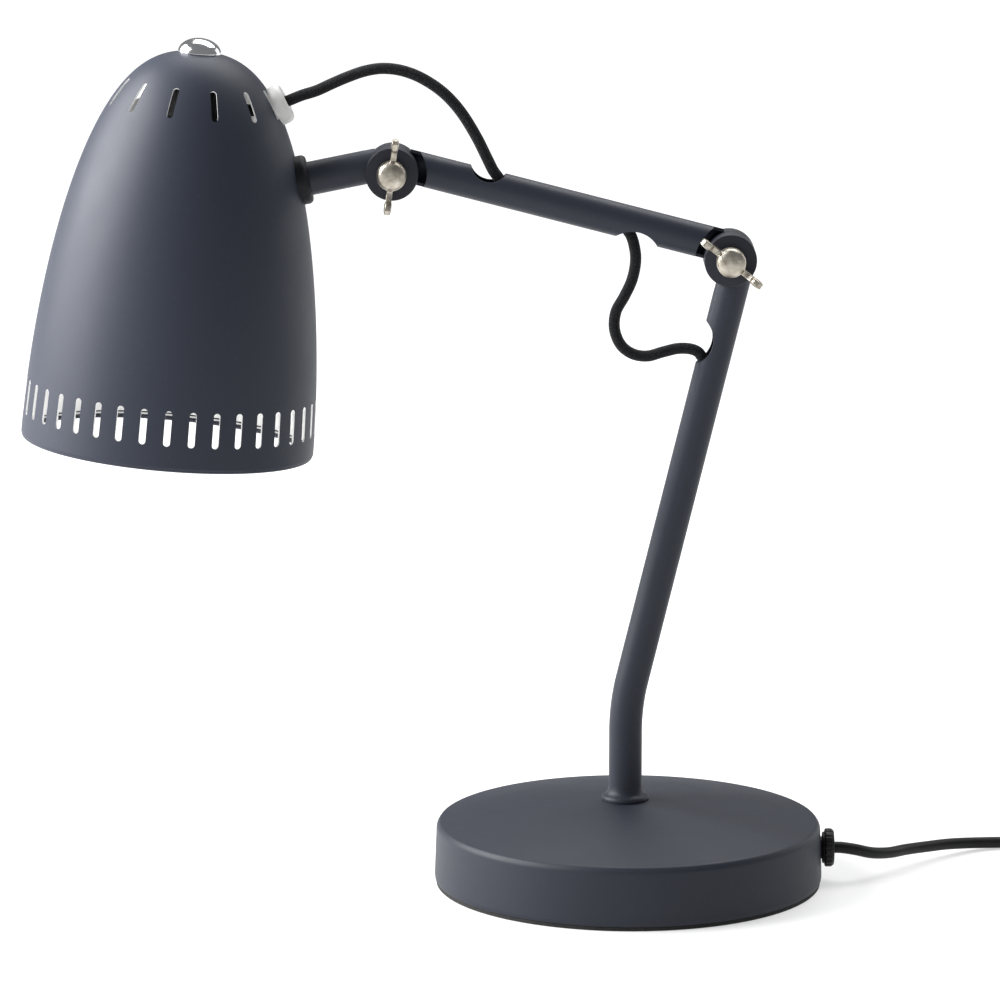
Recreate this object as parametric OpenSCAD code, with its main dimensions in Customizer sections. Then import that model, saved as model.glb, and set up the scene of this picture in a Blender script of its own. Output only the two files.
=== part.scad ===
// Two-arm desk lamp: weighted round base, bent post, wing-nut elbow, short upper arm,
// wing-nut head joint and a bullet shade with rings of vent slots.
// +X points away from the shade, +Y to the back, +Z up. The origin is the middle of the
// base's underside. All sizes are millimetres.

/* [Base] */
// Diameter of the base at its lower edge
base_d = 188; // [170:1:200]
// Height of the base's outer edge
base_edge_h = 30; // [26:0.5:34]
// Rise of the low dome above the outer edge
base_dome_h = 11; // [8:0.5:14]
// Thickness of the soft pad under the base
pad_t = 2; // [1.5:0.1:3]
// Height of the iron weight inside the base
weight_h = 13; // [8:1:14]

/* [Tubes] */
// Outer diameter of the post, the arm and the neck
tube_d = 16; // [15:0.5:17]
// Wall of the tubes
tube_wall = 1.5; // [1:0.1:2]
// Lean of the post above its bend, in degrees
post_tilt = 13.7; // [11:0.1:15]
// Height at which the bend starts
bend_z = 74.5; // [65:0.5:80]
// Radius of the bend
bend_r = 110; // [90:5:120]
// Length of the post from its bend to the elbow
post_upper_len = 210; // [200:1:215]
// Distance between the elbow and the head joint
arm_len = 165.5; // [160:0.5:170]
// Rise of the upper arm, in degrees
arm_rise = 14.4; // [12:0.1:16]
// Distance from the head joint to the shade
neck_len = 43.5; // [42:0.5:46]
// Fall of the neck towards the shade, in degrees
neck_fall = 11.5; // [10:0.1:13]

/* [Joints] */
// Diameter of the two discs of a joint
knuckle_d = 25; // [24.5:0.1:26]
// Depth of one disc
knuckle_t = 12; // [11:0.5:12.5]
// Diameter of the clamping bolts
bolt_d = 6; // [5:0.5:6.5]
// Hub diameter of the wing nuts
nut_d = 14; // [13:0.5:15]
// Span of the wings, tip to tip
wing_span = 36; // [32:1:40]

/* [Shade] */
// Diameter of the shade's open end
shade_d = 140; // [130:1:145]
// Length of the shade from its rim to its crown
shade_len = 189.5; // [185:0.5:195]
// Wall of the shade
shade_wall = 0.9; // [0.8:0.1:1.2]
// Exponent that flattens the sides
shade_p = 1.79; // [1.7:0.01:1.9]
// Exponent that rounds the crown
shade_q = 2.65; // [2.5:0.05:2.8]
// Height of the neck on the shade
neck_on_shade = 133; // [128:0.5:138]
// Number of slots above the rim
rim_slots = 38; // [30:1:40]
// Number of slots round the crown
crown_slots = 12; // [8:1:12]

/* [Cord] */
// Diameter of the braided lamp cord
cord_d = 5.4; // [5:0.1:5.6]
// Diameter of the mains lead
mains_d = 5.6; // [5:0.1:6]

/* [Hidden] */
$fn = 64;

// Base
base_r = base_d / 2;
base_draft = 1;
base_wall = 1.5;
pad_inset = 0.8;
gland_channel = [22, 22];
base_crown = 1.6;
dome_steps = 12;
edge_round = 1.5;
apex_z = base_edge_h + base_dome_h;
post_x = -1.5;
post_foot_z = base_edge_h + 5;
bend_steps = 8;
weight_r = base_r - 3;
weight_recess_r = 13;
weight_recess_h = 5;
weight_z = pad_t;
nipple_r = 5;
nipple_bore = 3.4;
nipple_top = post_foot_z + 14;
cord_window = [12, 6, 16];
cord_window_z = 14.5;

// Joints; each notch is its radius, its depth and its distance from the elbow
tube_r = tube_d / 2;
tube_bore = tube_r - tube_wall;
knuckle_r = knuckle_d / 2;
knuckle_drop = knuckle_r - tube_r;
knuckle_gap = 0.5;
knuckle_out = knuckle_gap + knuckle_t;
cope_r = knuckle_r + 4;
cope_lap = 0.3;
tube_end = 6;
post_notch = [12.5, 5.6, 42.4];
arm_notch_low = [13, 5.2, 45];
arm_notch_top = [9.5, 5.6, 121.5];
bolt_r = bolt_d / 2;
running = 0.08;
bolt_head_r = 7;
bolt_head_h = 4;
hub_h = 8.5;
hub_dome = 3;
nut_gap = 0.1;
bolt_tip = knuckle_out + 9;
wing_t = 2.8;
wing_deep = 12.5;
wing_bulb_r = 3.75;
elbow_nut_turn = -52;
head_nut_turn = 7;

// Places of the joints at rest
bend_end = [post_x + bend_r * (1 - cos(post_tilt)), 0, bend_z + bend_r * sin(post_tilt)];
elbow = step(step(bend_end, post_tilt, post_upper_len), post_tilt + 90, -knuckle_drop);
arm_turn = arm_rise - 90;
head = step(elbow, arm_turn, arm_len);
neck_turn = -90 - neck_fall;

// Shade, in its own frame: rim at z = 0, crown up, neck on the +X side
shade_r = shade_d / 2;
shade_steps = 26;
shade_turn = shade_slope(neck_on_shade) - neck_fall;
neck_end = step(step(head, neck_turn, neck_len), neck_turn + 90, knuckle_drop);
shade_origin = step(step(neck_end, shade_turn, -neck_on_shade), shade_turn + 90,
    -shade_out(neck_on_shade));
bead_r = 1.2;
slot_w = 3.2;
rim_slot_len = 16.7;
rim_slot_z = 20.4;
rim_slot_phase = 2.4;
crown_slot_len = 15.8;
crown_slot_w = 3;
crown_slot_z = 168.5;
crown_slot_phase = 1.5;
crown_hole_r = 5.2;
bushing_z = 167;
bushing_r = 9.6;
bushing_t = 5.8;
bushing_hole = 2.9;
collar_r = 11.7;
collar_t = 4.3;
knob_r = 10.3;
knob_h = 5.6;
knob_gap = 0.9;
spigot_r = 6;
crown_nut_h = 3.2;

// Lampholder and bulb, heights in the shade's frame
holder_top = shade_len - shade_wall - crown_nut_h - 0.8;
holder_mid = 152;
holder_low = 112;
holder_cap_r = 15;
bulb_cap_r = 13.2;
holder_skirt_r = 20;
holder_thread_r = 0.4 + bulb_cap_r;
bulb_cap_top = 143;
bulb_neck_z = 110;
bulb_r = 30;
bulb_z = 78;
bulb_wall = 1;

// Gland in the side of the base
gland_z = 16.5;
gland_r = 9.3;
gland_in = 5.5;
gland_out = 6.5;
gland_x = base_r - 0.6;
cord_exit_x = gland_x + gland_out;

// Coil of spare lead, with its tie, in-line switch and plug
coil_at = [240, 97];
coil_r = 30;
coil_layers = 4;
tie_t = 0.6;
tie_w = 9;
tie_turn = 60;
coil_z = tie_t;
switch_at = [328, 63, 0];
switch_len = 58;
switch_w = 25;
switch_h = 9;
rocker_len = 18;
rocker_w = 9;
rocker_ear = 1.4;
rocker_pin_r = 1;
rocker_rest = -7;
rocker_sink = 4.5;
rocker_gap = 0.35;
plug_at = [328, -8, 0];
plug_len = 34;
plug_w = 32;
plug_t = 13;
pin_r = 2;
pin_len = 19;
pin_pitch = 18.6;
plug_face_t = 6;
plug_waist = 14;
relief_len = 16;
relief_r = [4.2, 6];

// Routes of the cords, through the points that each one passes
post_route = [
    [cord_exit_x, 0, 16.5], [84, 0, 16.5], [72, 0, 19], [58, 0, 21.5], [38, 0, 22.5],
    [18, 0, 22.5], [5, 0, 25.5], [-1.3, 0, 34], [-1.5, 0, 48], [-1.5, 0, 66], [-0.5, 0, 86],
    [3, 0, 106], [9.5, 0, 132], [16.5, 0, 160], [23.5, 0, 190], [30.5, 0, 220],
    [35.8, 0, 239], [37.4, 0, 250], [35.5, 0, 255.8], [34, 0, 257.9]
];
elbow_route = [
    [34, 0, 257.9], [32.5, 0, 260], [29.3, 0, 261.5], [23, 0, 261.9], [15.5, 0, 260.2],
    [8, 0, 258.2], [1, 0, 259.3], [-4.5, 0, 263.5], [-7.6, 0, 271], [-7, 0, 279.5], [-3, 0, 287],
    [0.6, 0, 295], [2.3, 0, 304.5], [1.4, 0, 312], [0, 0, 316.2], [-1.5, 0, 318.5]
];
arm_route = [
    [-1.5, 0, 318.5], [-3, 0, 320.8], [-7.5, 0, 324.6], [-15, 0, 327.3], [-27, 0, 330.3],
    [-40, 0, 333.6],
    [-50, 0, 336.2], [-57.5, 0, 338.8], [-62.2, 0, 342.8], [-63.8, 0, 345]
];
head_route = [
    [-63.8, 0, 345], [-65.4, 0, 347.2], [-67.8, 0, 352], [-73.5, 0, 363.5], [-81, 0, 375.5],
    [-88.5, 0, 383.8], [-96.5, 0, 389.6], [-104, 0, 393.3], [-111.5, 0, 395.3], [-119, 0, 395.7],
    [-126.5, 0, 394.4], [-134, 0, 391.8], [-141.5, 0, 388.6], [-149, 0, 385.2],
    [-156, 0, 383], [-161.2, 0, 380.9], [-163.6, 0, 379.9]
];
holder_route = [
    [-163.6, 0, 379.9], [-166, 0, 378.9], [-169.5, 0, 377.3], [-174.5, 0, 375.9], [-181, 0, 376],
    [-188, 0, 377.8],
    [-195, 0, 378.5]
];
mains_route = [
    [cord_exit_x, 0, 16.5], [103, 0, 16.5], [110, 1.2, 15.2], [118.5, 6.3, 12.2],
    [127.5, 15.3, 9.8], [137.5, 28, 8.2], [148, 39, 6.7], [160, 50, 5.2], [173, 58.5, 3.6],
    [187, 62.6, 2.8], [202, 63.6, 2.8],
    [214, 63.8, 2.9], [226, 63.9, 3.2], [240, 64.2, 3.4]
];
switch_route = [
    [272.8, 97, 20.2], [273, 105, 20.2], [273.6, 113, 19.3], [275.5, 121, 16.6],
    [279.5, 128.5, 12.6], [285.5, 134.5, 8.6], [293.5, 138.3, 5.2], [302.5, 139.3, 3.1],
    [311.3, 137.4, 2.8], [319.6, 131.2, 2.8], [326, 120, 3.2], [328, 108, 5.2], [328, 98, 7.2],
    [328, 90, 8]
];
plug_route = [
    [328, 36, 8], [328, 28, 7.2], [328, 20, 6.4], [328, 12, 6.4], [328, 4, 6.5], [328, -4, 6.5]
];

// A point a distance away from p along a direction leaning a degrees from +Z towards +X
function step(p, a, d) = p + d * [sin(a), 0, cos(a)];
// Radius of the shade's outside at a height above its rim
function shade_out(h) = shade_r * pow(1 - pow(h / shade_len, shade_p), 1 / shade_q);
// Lean of the shade's wall towards its axis, in degrees
function shade_slope(h) = let (t = h / shade_len)
    atan(shade_r / shade_len * shade_p / shade_q * pow(t, shade_p - 1)
        * pow(1 - pow(t, shade_p), 1 / shade_q - 1));
// Outline of the bullet: its half section for a given radius and length
function bullet(r, len) = concat([[0, 0]], [
    for (i = [0 : shade_steps]) let (t = sin(90 * i / shade_steps))
        [i == shade_steps ? 0 : r * pow(1 - pow(t, shade_p), 1 / shade_q), t * len]
]);
// Outline of the base's dome, inset from the outer surface
function dome(inset) = [
    for (i = [0 : dome_steps]) let (r = (base_r - base_draft - edge_round) * (1 - i / dome_steps))
        [r, apex_z - inset - base_dome_h * pow(r / (base_r - base_draft), base_crown)]
];
// Centre line of the post: upright foot, bend, leaning part; over lengthens both ends
function post_line(over) = concat([[post_x, 0, post_foot_z - over]],
    [for (i = [0 : bend_steps]) let (a = post_tilt * i / bend_steps)
        [post_x + bend_r * (1 - cos(a)), 0, bend_z + bend_r * sin(a)]],
    [step(bend_end, post_tilt, post_upper_len - tube_end + over)]);
function unit(v) = v / norm(v);

// Places its children at p with their +Z leaning a degrees towards +X
module at(p, a) {
    translate(p) rotate([0, a, 0]) children();
}

// A rod along Y from y0 to y1
module cross_rod(r, y0, y1) {
    translate([0, y1, 0]) rotate([90, 0, 0]) cylinder(r = r, h = y1 - y0);
}

// A round tube swept along a route; side_ref is a direction that the route never takes
module sweep(p, r, sides, side_ref) {
    n = len(p);
    rings = [
        for (i = [0 : n - 1])
            let (t = unit(p[min(i + 1, n - 1)] - p[max(i - 1, 0)]),
                u = unit(cross(side_ref, t)), v = cross(t, u))
                for (j = [0 : sides - 1])
                    let (a = 360 * j / sides) p[i] + r * (cos(a) * u + sin(a) * v)
    ];
    walls = [
        for (i = [0 : n - 2], j = [0 : sides - 1]) let (k = (j + 1) % sides)
            [i * sides + j, (i + 1) * sides + j, (i + 1) * sides + k, i * sides + k]
    ];
    ends = [
        [for (j = [0 : sides - 1]) j],
        [for (j = [0 : sides - 1]) n * sides - 1 - j]
    ];
    polyhedron(points = rings, faces = concat(walls, ends));
}

module lamp_cord(route) {
    sweep(route, cord_d / 2, 8, [0, 1, 0]);
}

module mains_lead(route) {
    sweep(route, mains_d / 2, 8, [0, 0, 1]);
}

// What a joint takes out of a tube: the disc all through, and a wider sweep on the side
// (+1 back, -1 front) where the other arm's disc turns
module joint_cut(side) {
    cross_rod(knuckle_r, -2 * knuckle_r, 2 * knuckle_r);
    if (side > 0)
        cross_rod(cope_r, -cope_lap, 2 * knuckle_r);
    else
        cross_rod(cope_r, -2 * knuckle_r, cope_lap);
}

// Scooped opening across a tube, centred a distance off the tube's axis
module cord_notch(r, depth) {
    translate([r + tube_r - depth, 0, 0]) cross_rod(r, -tube_d, tube_d);
}

// One disc of a joint; side is +1 for the back disc and -1 for the front disc
module knuckle(side, hole_r) {
    difference() {
        if (side > 0)
            cross_rod(knuckle_r, knuckle_gap, knuckle_out);
        else
            cross_rod(knuckle_r, -knuckle_out, -knuckle_gap);
        cross_rod(hole_r, -2 * knuckle_out, 2 * knuckle_out);
    }
}

module bolt() {
    cross_rod(bolt_r, -bolt_tip, knuckle_out);
    translate([0, knuckle_out, 0]) rotate([-90, 0, 0]) rotate_extrude()
        polygon([[0, 0], [bolt_head_r, 0], [bolt_head_r, 1.2], [0.85 * bolt_head_r, 2.6],
            [0.5 * bolt_head_r, 3.7], [0, bolt_head_h]]);
}

module friction_washer() {
    difference() {
        cross_rod(knuckle_r - 0.5, -knuckle_gap + 0.05, knuckle_gap);
        cross_rod(bolt_r + running, -2, 2);
    }
}

// Closed wing nut; turn is the lean of its wings from +Z towards +X
module wing_nut(turn) {
    face = knuckle_out + nut_gap;
    hub = nut_d / 2;
    rotate([0, turn, 0]) difference() {
        union() {
            translate([0, -face, 0]) rotate([90, 0, 0]) rotate_extrude()
                polygon([[0, 0], [hub, 0], [hub, hub_h - 1], [0.9 * hub, hub_h],
                    [0.6 * hub, hub_h + 0.6 * hub_dome], [0.3 * hub, hub_h + 0.9 * hub_dome],
                    [0, hub_h + hub_dome]]);
            for (side = [0, 180]) rotate([0, side, 0]) translate([-wing_t / 2, 0, 0])
                rotate([90, 0, 90]) linear_extrude(wing_t) wing_outline(face);
        }
        cross_rod(bolt_r + running, -bolt_tip - 0.5, 0);
    }
}

// Side view of one wing: x is -depth towards the viewer, y is the distance from the axis
module wing_outline(face) {
    tip = wing_span / 2;
    root = nut_d / 2 - 1.5;
    top = -face - wing_deep;
    polygon([[-face - 1, root], [-face - 7.5, root], [top, tip - 6], [top, tip - 3.5],
        [-face - 5, tip - 3.5], [-face - 2.5, tip - 6]]);
    translate([top + wing_bulb_r, tip - wing_bulb_r]) circle(wing_bulb_r);
}

// A slot with round ends, its length along Z and its cut along X
module slot_cut(length, width, through) {
    straight = length - width;
    translate([-through / 2, -width / 2, -straight / 2]) cube([through, width, straight]);
    for (end = [-straight / 2, straight / 2]) translate([-through / 2, 0, end])
        rotate([0, 90, 0]) cylinder(d = width, h = through, $fn = 24);
}

module shade_frame() {
    at(shade_origin, shade_turn) children();
}

// Places its children on the shade's outside at a height, with +Z along the surface's normal
module on_shade(h) {
    translate([shade_out(h), 0, h]) rotate([0, 90 - shade_slope(h), 0]) children();
}

module shade_solid() {
    rotate_extrude($fn = 96) polygon(bullet(shade_r, shade_len));
}

// ---- base and post ----

module base_shell() {
    color("#42464f") difference() {
        rotate_extrude($fn = 96) polygon(concat(
            [[0, pad_t], [base_r, pad_t], [base_r - base_draft, base_edge_h - edge_round]],
            dome(0)));
        rotate_extrude($fn = 96) polygon(concat(
            [[0, pad_t - 1], [base_r - base_wall, pad_t - 1],
                [base_r - base_draft - base_wall, base_edge_h - edge_round - base_wall]],
            dome(base_wall)));
        translate([post_x, 0, 0]) cylinder(r = tube_r, h = 2 * apex_z);
        translate([base_r - 8, 0, gland_z]) rotate([0, 90, 0]) cylinder(r = gland_in, h = 16);
    }
}

module base_weight() {
    color("#3a3a3c") difference() {
        translate([0, 0, weight_z]) cylinder(r = weight_r, h = weight_h, $fn = 96);
        translate([post_x, 0, 0]) cylinder(r = nipple_r + 0.3, h = 2 * weight_h);
        translate([post_x, 0, weight_z - 1]) cylinder(r = weight_recess_r, h = weight_recess_h + 1);
        translate([weight_r - gland_channel.x, -gland_channel.y / 2, weight_z - 1])
            cube([2 * gland_channel.x, gland_channel.y, weight_h + 2]);
    }
}

module base_pad() {
    color("#141415") cylinder(r = base_r - pad_inset, h = pad_t, $fn = 96);
}

module foot_flange() {
    color("#42464f") difference() {
        translate([post_x, 0, apex_z - 0.2]) rotate_extrude()
            polygon([[tube_r, 0], [tube_r + 2.8, 0], [tube_r + 3.3, 0.8], [tube_r + 3.1, 1.8],
                [tube_r + 1.8, 2.8], [tube_r + 0.8, 4.2], [tube_r + 0.3, 6], [tube_r, 7.5]]);
        rotate_extrude($fn = 96) polygon(concat([[0, 0]], dome(0)));
    }
}

module post_tube() {
    color("#3c414b") difference() {
        sweep(post_line(0), tube_r, 32, [0, 1, 0]);
        sweep(post_line(1), tube_bore, 32, [0, 1, 0]);
        at(elbow, post_tilt) joint_cut(1);
        at(step(elbow, post_tilt, -post_notch[2]), post_tilt + 180)
            translate([-knuckle_drop, 0, 0]) cord_notch(post_notch[0], post_notch[1]);
    }
}

module post_knuckle() {
    color("#33363e") at(elbow, post_tilt) knuckle(-1, bolt_r + running);
}

// Threaded plug pressed into the foot of the post, with the hollow stud that holds the base
module post_nipple() {
    color("#b9b9b4") translate([post_x, 0, weight_z + 1]) difference() {
        union() {
            cylinder(r = nipple_r, h = nipple_top - weight_z - 1);
            translate([0, 0, post_foot_z - weight_z - 1]) cylinder(r = tube_bore, h = 12);
        }
        translate([0, 0, -1]) cylinder(r = nipple_bore, h = nipple_top);
        translate([0, -cord_window.y / 2, cord_window_z]) cube(cord_window);
    }
}

module post_nut() {
    color("#b9b9b4") translate([post_x, 0, weight_z + 1.2]) difference() {
        cylinder(r = 9.2, h = 3.8, $fn = 6);
        translate([0, 0, -1]) cylinder(r = nipple_r, h = 8);
    }
}

module cord_gland() {
    color("#17181a") translate([gland_x, 0, gland_z]) rotate([0, 90, 0]) difference() {
        union() {
            translate([0, 0, 0.8]) cylinder(r = gland_r - 1.6, h = 1.7);
            translate([0, 0, 1.7]) cylinder(r = gland_r, h = gland_out - 1.7 - 0.8);
            translate([0, 0, gland_out - 0.8]) cylinder(r = gland_r - 1.2, h = 0.8);
            translate([0, 0, -9]) cylinder(r = gland_in, h = 10);
        }
        translate([0, 0, -10]) cylinder(r = mains_d / 2, h = 20);
    }
}

module gland_nut() {
    color("#2a2b2d") translate([base_r - 7.5, 0, gland_z]) rotate([0, 90, 0]) difference() {
        cylinder(r = 9, h = 3.5, $fn = 6);
        translate([0, 0, -1]) cylinder(r = gland_in, h = 6);
    }
}

module cord_in_post() {
    color("#1c1c1e") lamp_cord(post_route);
}

// ---- mains lead ----

module mains_cord() {
    color("#1c1c1e") mains_lead(mains_route);
}

module cord_coil() {
    color("#1c1c1e") translate([coil_at.x, coil_at.y, coil_z]) rotate_extrude()
        translate([coil_r - mains_d, 0]) square([2 * mains_d, coil_layers * mains_d]);
}

module cord_tie() {
    room = 0.7;
    color("#222326") translate([coil_at.x, coil_at.y, 0]) rotate([0, 0, tie_turn])
        translate([coil_r, 0, 0]) difference() {
            translate([-mains_d - room - tie_t, -tie_w / 2, 0])
                cube([2 * (mains_d + room + tie_t), tie_w, coil_layers * mains_d + room + 2 * tie_t]);
            translate([-mains_d - room, -tie_w, tie_t])
                cube([2 * (mains_d + room), 2 * tie_w, coil_layers * mains_d + room]);
        }
}

module cord_to_switch() {
    color("#1c1c1e") mains_lead(switch_route);
}

module cord_to_plug() {
    color("#1c1c1e") mains_lead(plug_route);
}

// Outline of the in-line switch seen from above
module switch_outline(inset) {
    straight = switch_len - switch_w;
    hull() for (y = [-straight / 2, straight / 2]) translate([0, y])
        circle(switch_w / 2 - inset, $fn = 32);
}

module switch_base() {
    color("#1e1f21") translate(switch_at) difference() {
        linear_extrude(switch_h) switch_outline(0);
        translate([0, 0, 1.5]) linear_extrude(switch_h) switch_outline(1.6);
        translate([0, switch_len, 8]) rotate([90, 0, 0]) cylinder(r = mains_d / 2, h = 2 * switch_len);
    }
}

module switch_cover() {
    window = rocker_w / 2 + rocker_gap;
    color("#232427") translate(switch_at + [0, 0, switch_h]) difference() {
        union() {
            difference() {
                linear_extrude(switch_h) switch_outline(0);
                translate([0, 0, -1.5]) linear_extrude(switch_h) switch_outline(1.6);
            }
            for (side = [-1, 1])
                translate([side * (window + rocker_ear / 2) - rocker_ear / 2, -2.5, switch_h - 7])
                    cube([rocker_ear, 5, 6]);
        }
        translate([0, switch_len, -1]) rotate([90, 0, 0])
            cylinder(r = mains_d / 2, h = 2 * switch_len);
        translate([-window, -rocker_len / 2 - rocker_gap, 2])
            cube([2 * window, rocker_len + 2 * rocker_gap, switch_h]);
        translate([-switch_w / 4, 0, switch_h - rocker_sink]) rotate([0, 90, 0])
            cylinder(r = rocker_pin_r + running, h = switch_w / 2, $fn = 24);
    }
}

// Rocker key that tips on its two side pins, shown tipped to one side
module switch_rocker() {
    half = rocker_len / 2;
    pin = rocker_w / 2 + rocker_gap + rocker_ear;
    color("#2c2d30") translate(switch_at + [0, 0, 2 * switch_h - rocker_sink])
        rotate([rocker_rest, 0, 0]) {
            translate([-rocker_w / 2, 0, 0]) rotate([90, 0, 90]) linear_extrude(rocker_w)
                polygon([[-half + 1.6, -1.8], [half - 1.6, -1.8], [half - 0.9, rocker_sink],
                    [half - 1.2, rocker_sink + 1.9], [0, rocker_sink + 0.9],
                    [-half + 1.2, rocker_sink + 1.9], [-half + 0.9, rocker_sink]]);
            translate([-pin, 0, 0]) rotate([0, 90, 0])
                cylinder(r = rocker_pin_r, h = 2 * pin, $fn = 24);
        }
}

module plug_body() {
    color("#1b1c1e") translate(plug_at) difference() {
        union() {
            translate([0, -plug_len, 0]) linear_extrude(plug_t) hull() {
                translate([-plug_w / 2, 0]) square([plug_w, plug_face_t]);
                translate([-plug_waist / 2, plug_len - 1]) square([plug_waist, 1]);
            }
            translate([0, relief_len, plug_t / 2]) rotate([90, 0, 0])
                cylinder(r1 = relief_r[0], r2 = relief_r[1], h = relief_len + 0.5);
        }
        translate([0, relief_len + 4, plug_t / 2]) rotate([90, 0, 0])
            cylinder(r = mains_d / 2, h = relief_len + 10);
    }
}

module plug_pins() {
    color("#cfc8b4") for (side = [-1, 1])
        translate(plug_at + [side * pin_pitch / 2, -plug_len, plug_t / 2]) rotate([90, 0, 0])
            cylinder(r = pin_r, h = pin_len, $fn = 32);
}

// ---- upper arm ----

module arm_tube() {
    color("#3c414b") difference() {
        at(elbow, arm_turn) translate([knuckle_drop, 0, tube_end]) difference() {
            cylinder(r = tube_r, h = arm_len - 2 * tube_end);
            translate([0, 0, -1]) cylinder(r = tube_bore, h = arm_len);
        }
        at(elbow, arm_turn) joint_cut(-1);
        at(head, arm_turn) joint_cut(-1);
        at(step(elbow, arm_turn, arm_notch_low[2]), arm_turn + 180)
            translate([-knuckle_drop, 0, 0]) cord_notch(arm_notch_low[0], arm_notch_low[1]);
        at(step(elbow, arm_turn, arm_notch_top[2]), arm_turn)
            translate([knuckle_drop, 0, 0]) cord_notch(arm_notch_top[0], arm_notch_top[1]);
    }
}

module arm_elbow_knuckle() {
    color("#33363e") at(elbow, arm_turn) knuckle(1, bolt_r);
}

module arm_head_knuckle() {
    color("#33363e") at(head, arm_turn) knuckle(1, bolt_r);
}

module elbow_bolt() {
    color("#c9c6bd") translate(elbow) bolt();
}

module head_bolt() {
    color("#c9c6bd") translate(head) bolt();
}

module elbow_washer() {
    color("#18181a") translate(elbow) friction_washer();
}

module head_washer() {
    color("#18181a") translate(head) friction_washer();
}

module cord_in_arm() {
    color("#1c1c1e") lamp_cord(arm_route);
}

module cord_loop_elbow() {
    color("#1c1c1e") lamp_cord(elbow_route);
}

module cord_loop_head() {
    color("#1c1c1e") lamp_cord(head_route);
}

module elbow_wing_nut() {
    color("#c9c2b2") translate(elbow) wing_nut(elbow_nut_turn);
}

module head_wing_nut() {
    color("#c9c2b2") translate(head) wing_nut(head_nut_turn);
}

// ---- head ----

module neck_tube() {
    color("#3c414b") difference() {
        at(head, neck_turn) translate([knuckle_drop, 0, tube_end]) difference() {
            cylinder(r = tube_r, h = neck_len - tube_end + 6);
            translate([0, 0, -1]) cylinder(r = tube_bore, h = neck_len - tube_end - 8);
            translate([0, 0, neck_len - tube_end - 10]) cylinder(r = 3.5, h = 20);
            translate([0, 0, neck_len - tube_end - 4]) cylinder(r = spigot_r, h = 20);
        }
        at(head, neck_turn) joint_cut(1);
        shade_frame() shade_solid();
    }
}

module neck_knuckle() {
    color("#33363e") at(head, neck_turn) knuckle(-1, bolt_r + running);
}

module neck_collar() {
    color("#26282d") difference() {
        at(neck_end, neck_turn) translate([0, 0, -collar_t]) rotate_extrude()
            polygon([[tube_r, 0], [collar_r - 1.6, 0], [collar_r - 0.4, 0.8], [collar_r, 2],
                [collar_r, collar_t - 1], [collar_r, collar_t + 4], [tube_r, collar_t + 4]]);
        shade_frame() shade_solid();
    }
}

// Threaded spigot and nut that hold the neck to the shade from inside
module neck_nut() {
    color("#b9b9b4") difference() {
        union() {
            at(neck_end, neck_turn) translate([0, 0, -4]) cylinder(r = spigot_r, h = 11);
            at(neck_end, neck_turn) translate([0, 0, 2.2]) cylinder(r = 10, h = 3.6, $fn = 6);
        }
        at(neck_end, neck_turn) translate([0, 0, -5]) cylinder(r = 3.5, h = 20);
    }
}

module shade() {
    color("#3f434d") shade_frame() difference() {
        union() {
            difference() {
                shade_solid();
                translate([0, 0, -0.01]) rotate_extrude($fn = 96)
                    polygon(bullet(shade_r - shade_wall, shade_len - shade_wall));
            }
            translate([0, 0, bead_r]) rotate_extrude($fn = 96)
                translate([shade_r - bead_r - 0.3, 0]) circle(bead_r, $fn = 24);
        }
        for (k = [0 : rim_slots - 1]) rotate([0, 0, -90 + rim_slot_phase + k * 360 / rim_slots])
            translate([shade_r - 2, 0, rim_slot_z]) slot_cut(rim_slot_len, slot_w, 9);
        for (k = [0 : crown_slots - 1])
            rotate([0, 0, -90 + crown_slot_phase + (k + 0.5) * 360 / crown_slots])
                on_shade(crown_slot_z) rotate([0, -90, 0])
                    slot_cut(crown_slot_len, crown_slot_w, 9);
        cylinder(r = crown_hole_r, h = 2 * shade_len);
        on_shade(neck_on_shade) translate([0, 0, -9]) cylinder(r = spigot_r, h = 18);
        on_shade(bushing_z) translate([0, 0, -9]) cylinder(r = bushing_r - 3, h = 18);
    }
}

module cord_bushing() {
    color("#eceae6") shade_frame() difference() {
        union() {
            difference() {
                on_shade(bushing_z) rotate_extrude()
                    polygon([[0, -4], [bushing_r - 0.6, -4], [bushing_r, 1.2],
                        [bushing_r, bushing_t - 2.2], [bushing_r - 0.8, bushing_t - 0.7],
                        [bushing_r - 2.4, bushing_t], [0, bushing_t]]);
                shade_solid();
            }
            on_shade(bushing_z) translate([0, 0, -5]) cylinder(r = bushing_r - 3, h = 7);
        }
        on_shade(bushing_z) translate([0, 0, -10]) cylinder(r = bushing_hole, h = 20);
    }
}

module crown_knob() {
    color("#d9dadc") shade_frame() translate([0, 0, shade_len]) difference() {
        rotate_extrude() polygon(concat(
            [[0, 0], [knob_r - 3.5, 0], [knob_r - 3.5, knob_gap], [knob_r, knob_gap]],
            [for (a = [0 : 10 : 90]) [knob_r * cos(a), knob_gap + 0.6 + (knob_h - 0.6) * sin(a)]]));
        translate([0, 0, -1]) cylinder(r = nipple_r, h = 4.5);
    }
}

module crown_nipple() {
    color("#b9b9b4") shade_frame() translate([0, 0, holder_top - 6]) difference() {
        cylinder(r = nipple_r, h = shade_len + 3 - holder_top + 6);
        translate([0, 0, -1]) cylinder(r = nipple_bore, h = 40);
    }
}

module crown_nut() {
    color("#b9b9b4") shade_frame() translate([0, 0, holder_top]) difference() {
        cylinder(r = 8, h = crown_nut_h, $fn = 6);
        translate([0, 0, -1]) cylinder(r = nipple_r, h = crown_nut_h + 2);
    }
}

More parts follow.
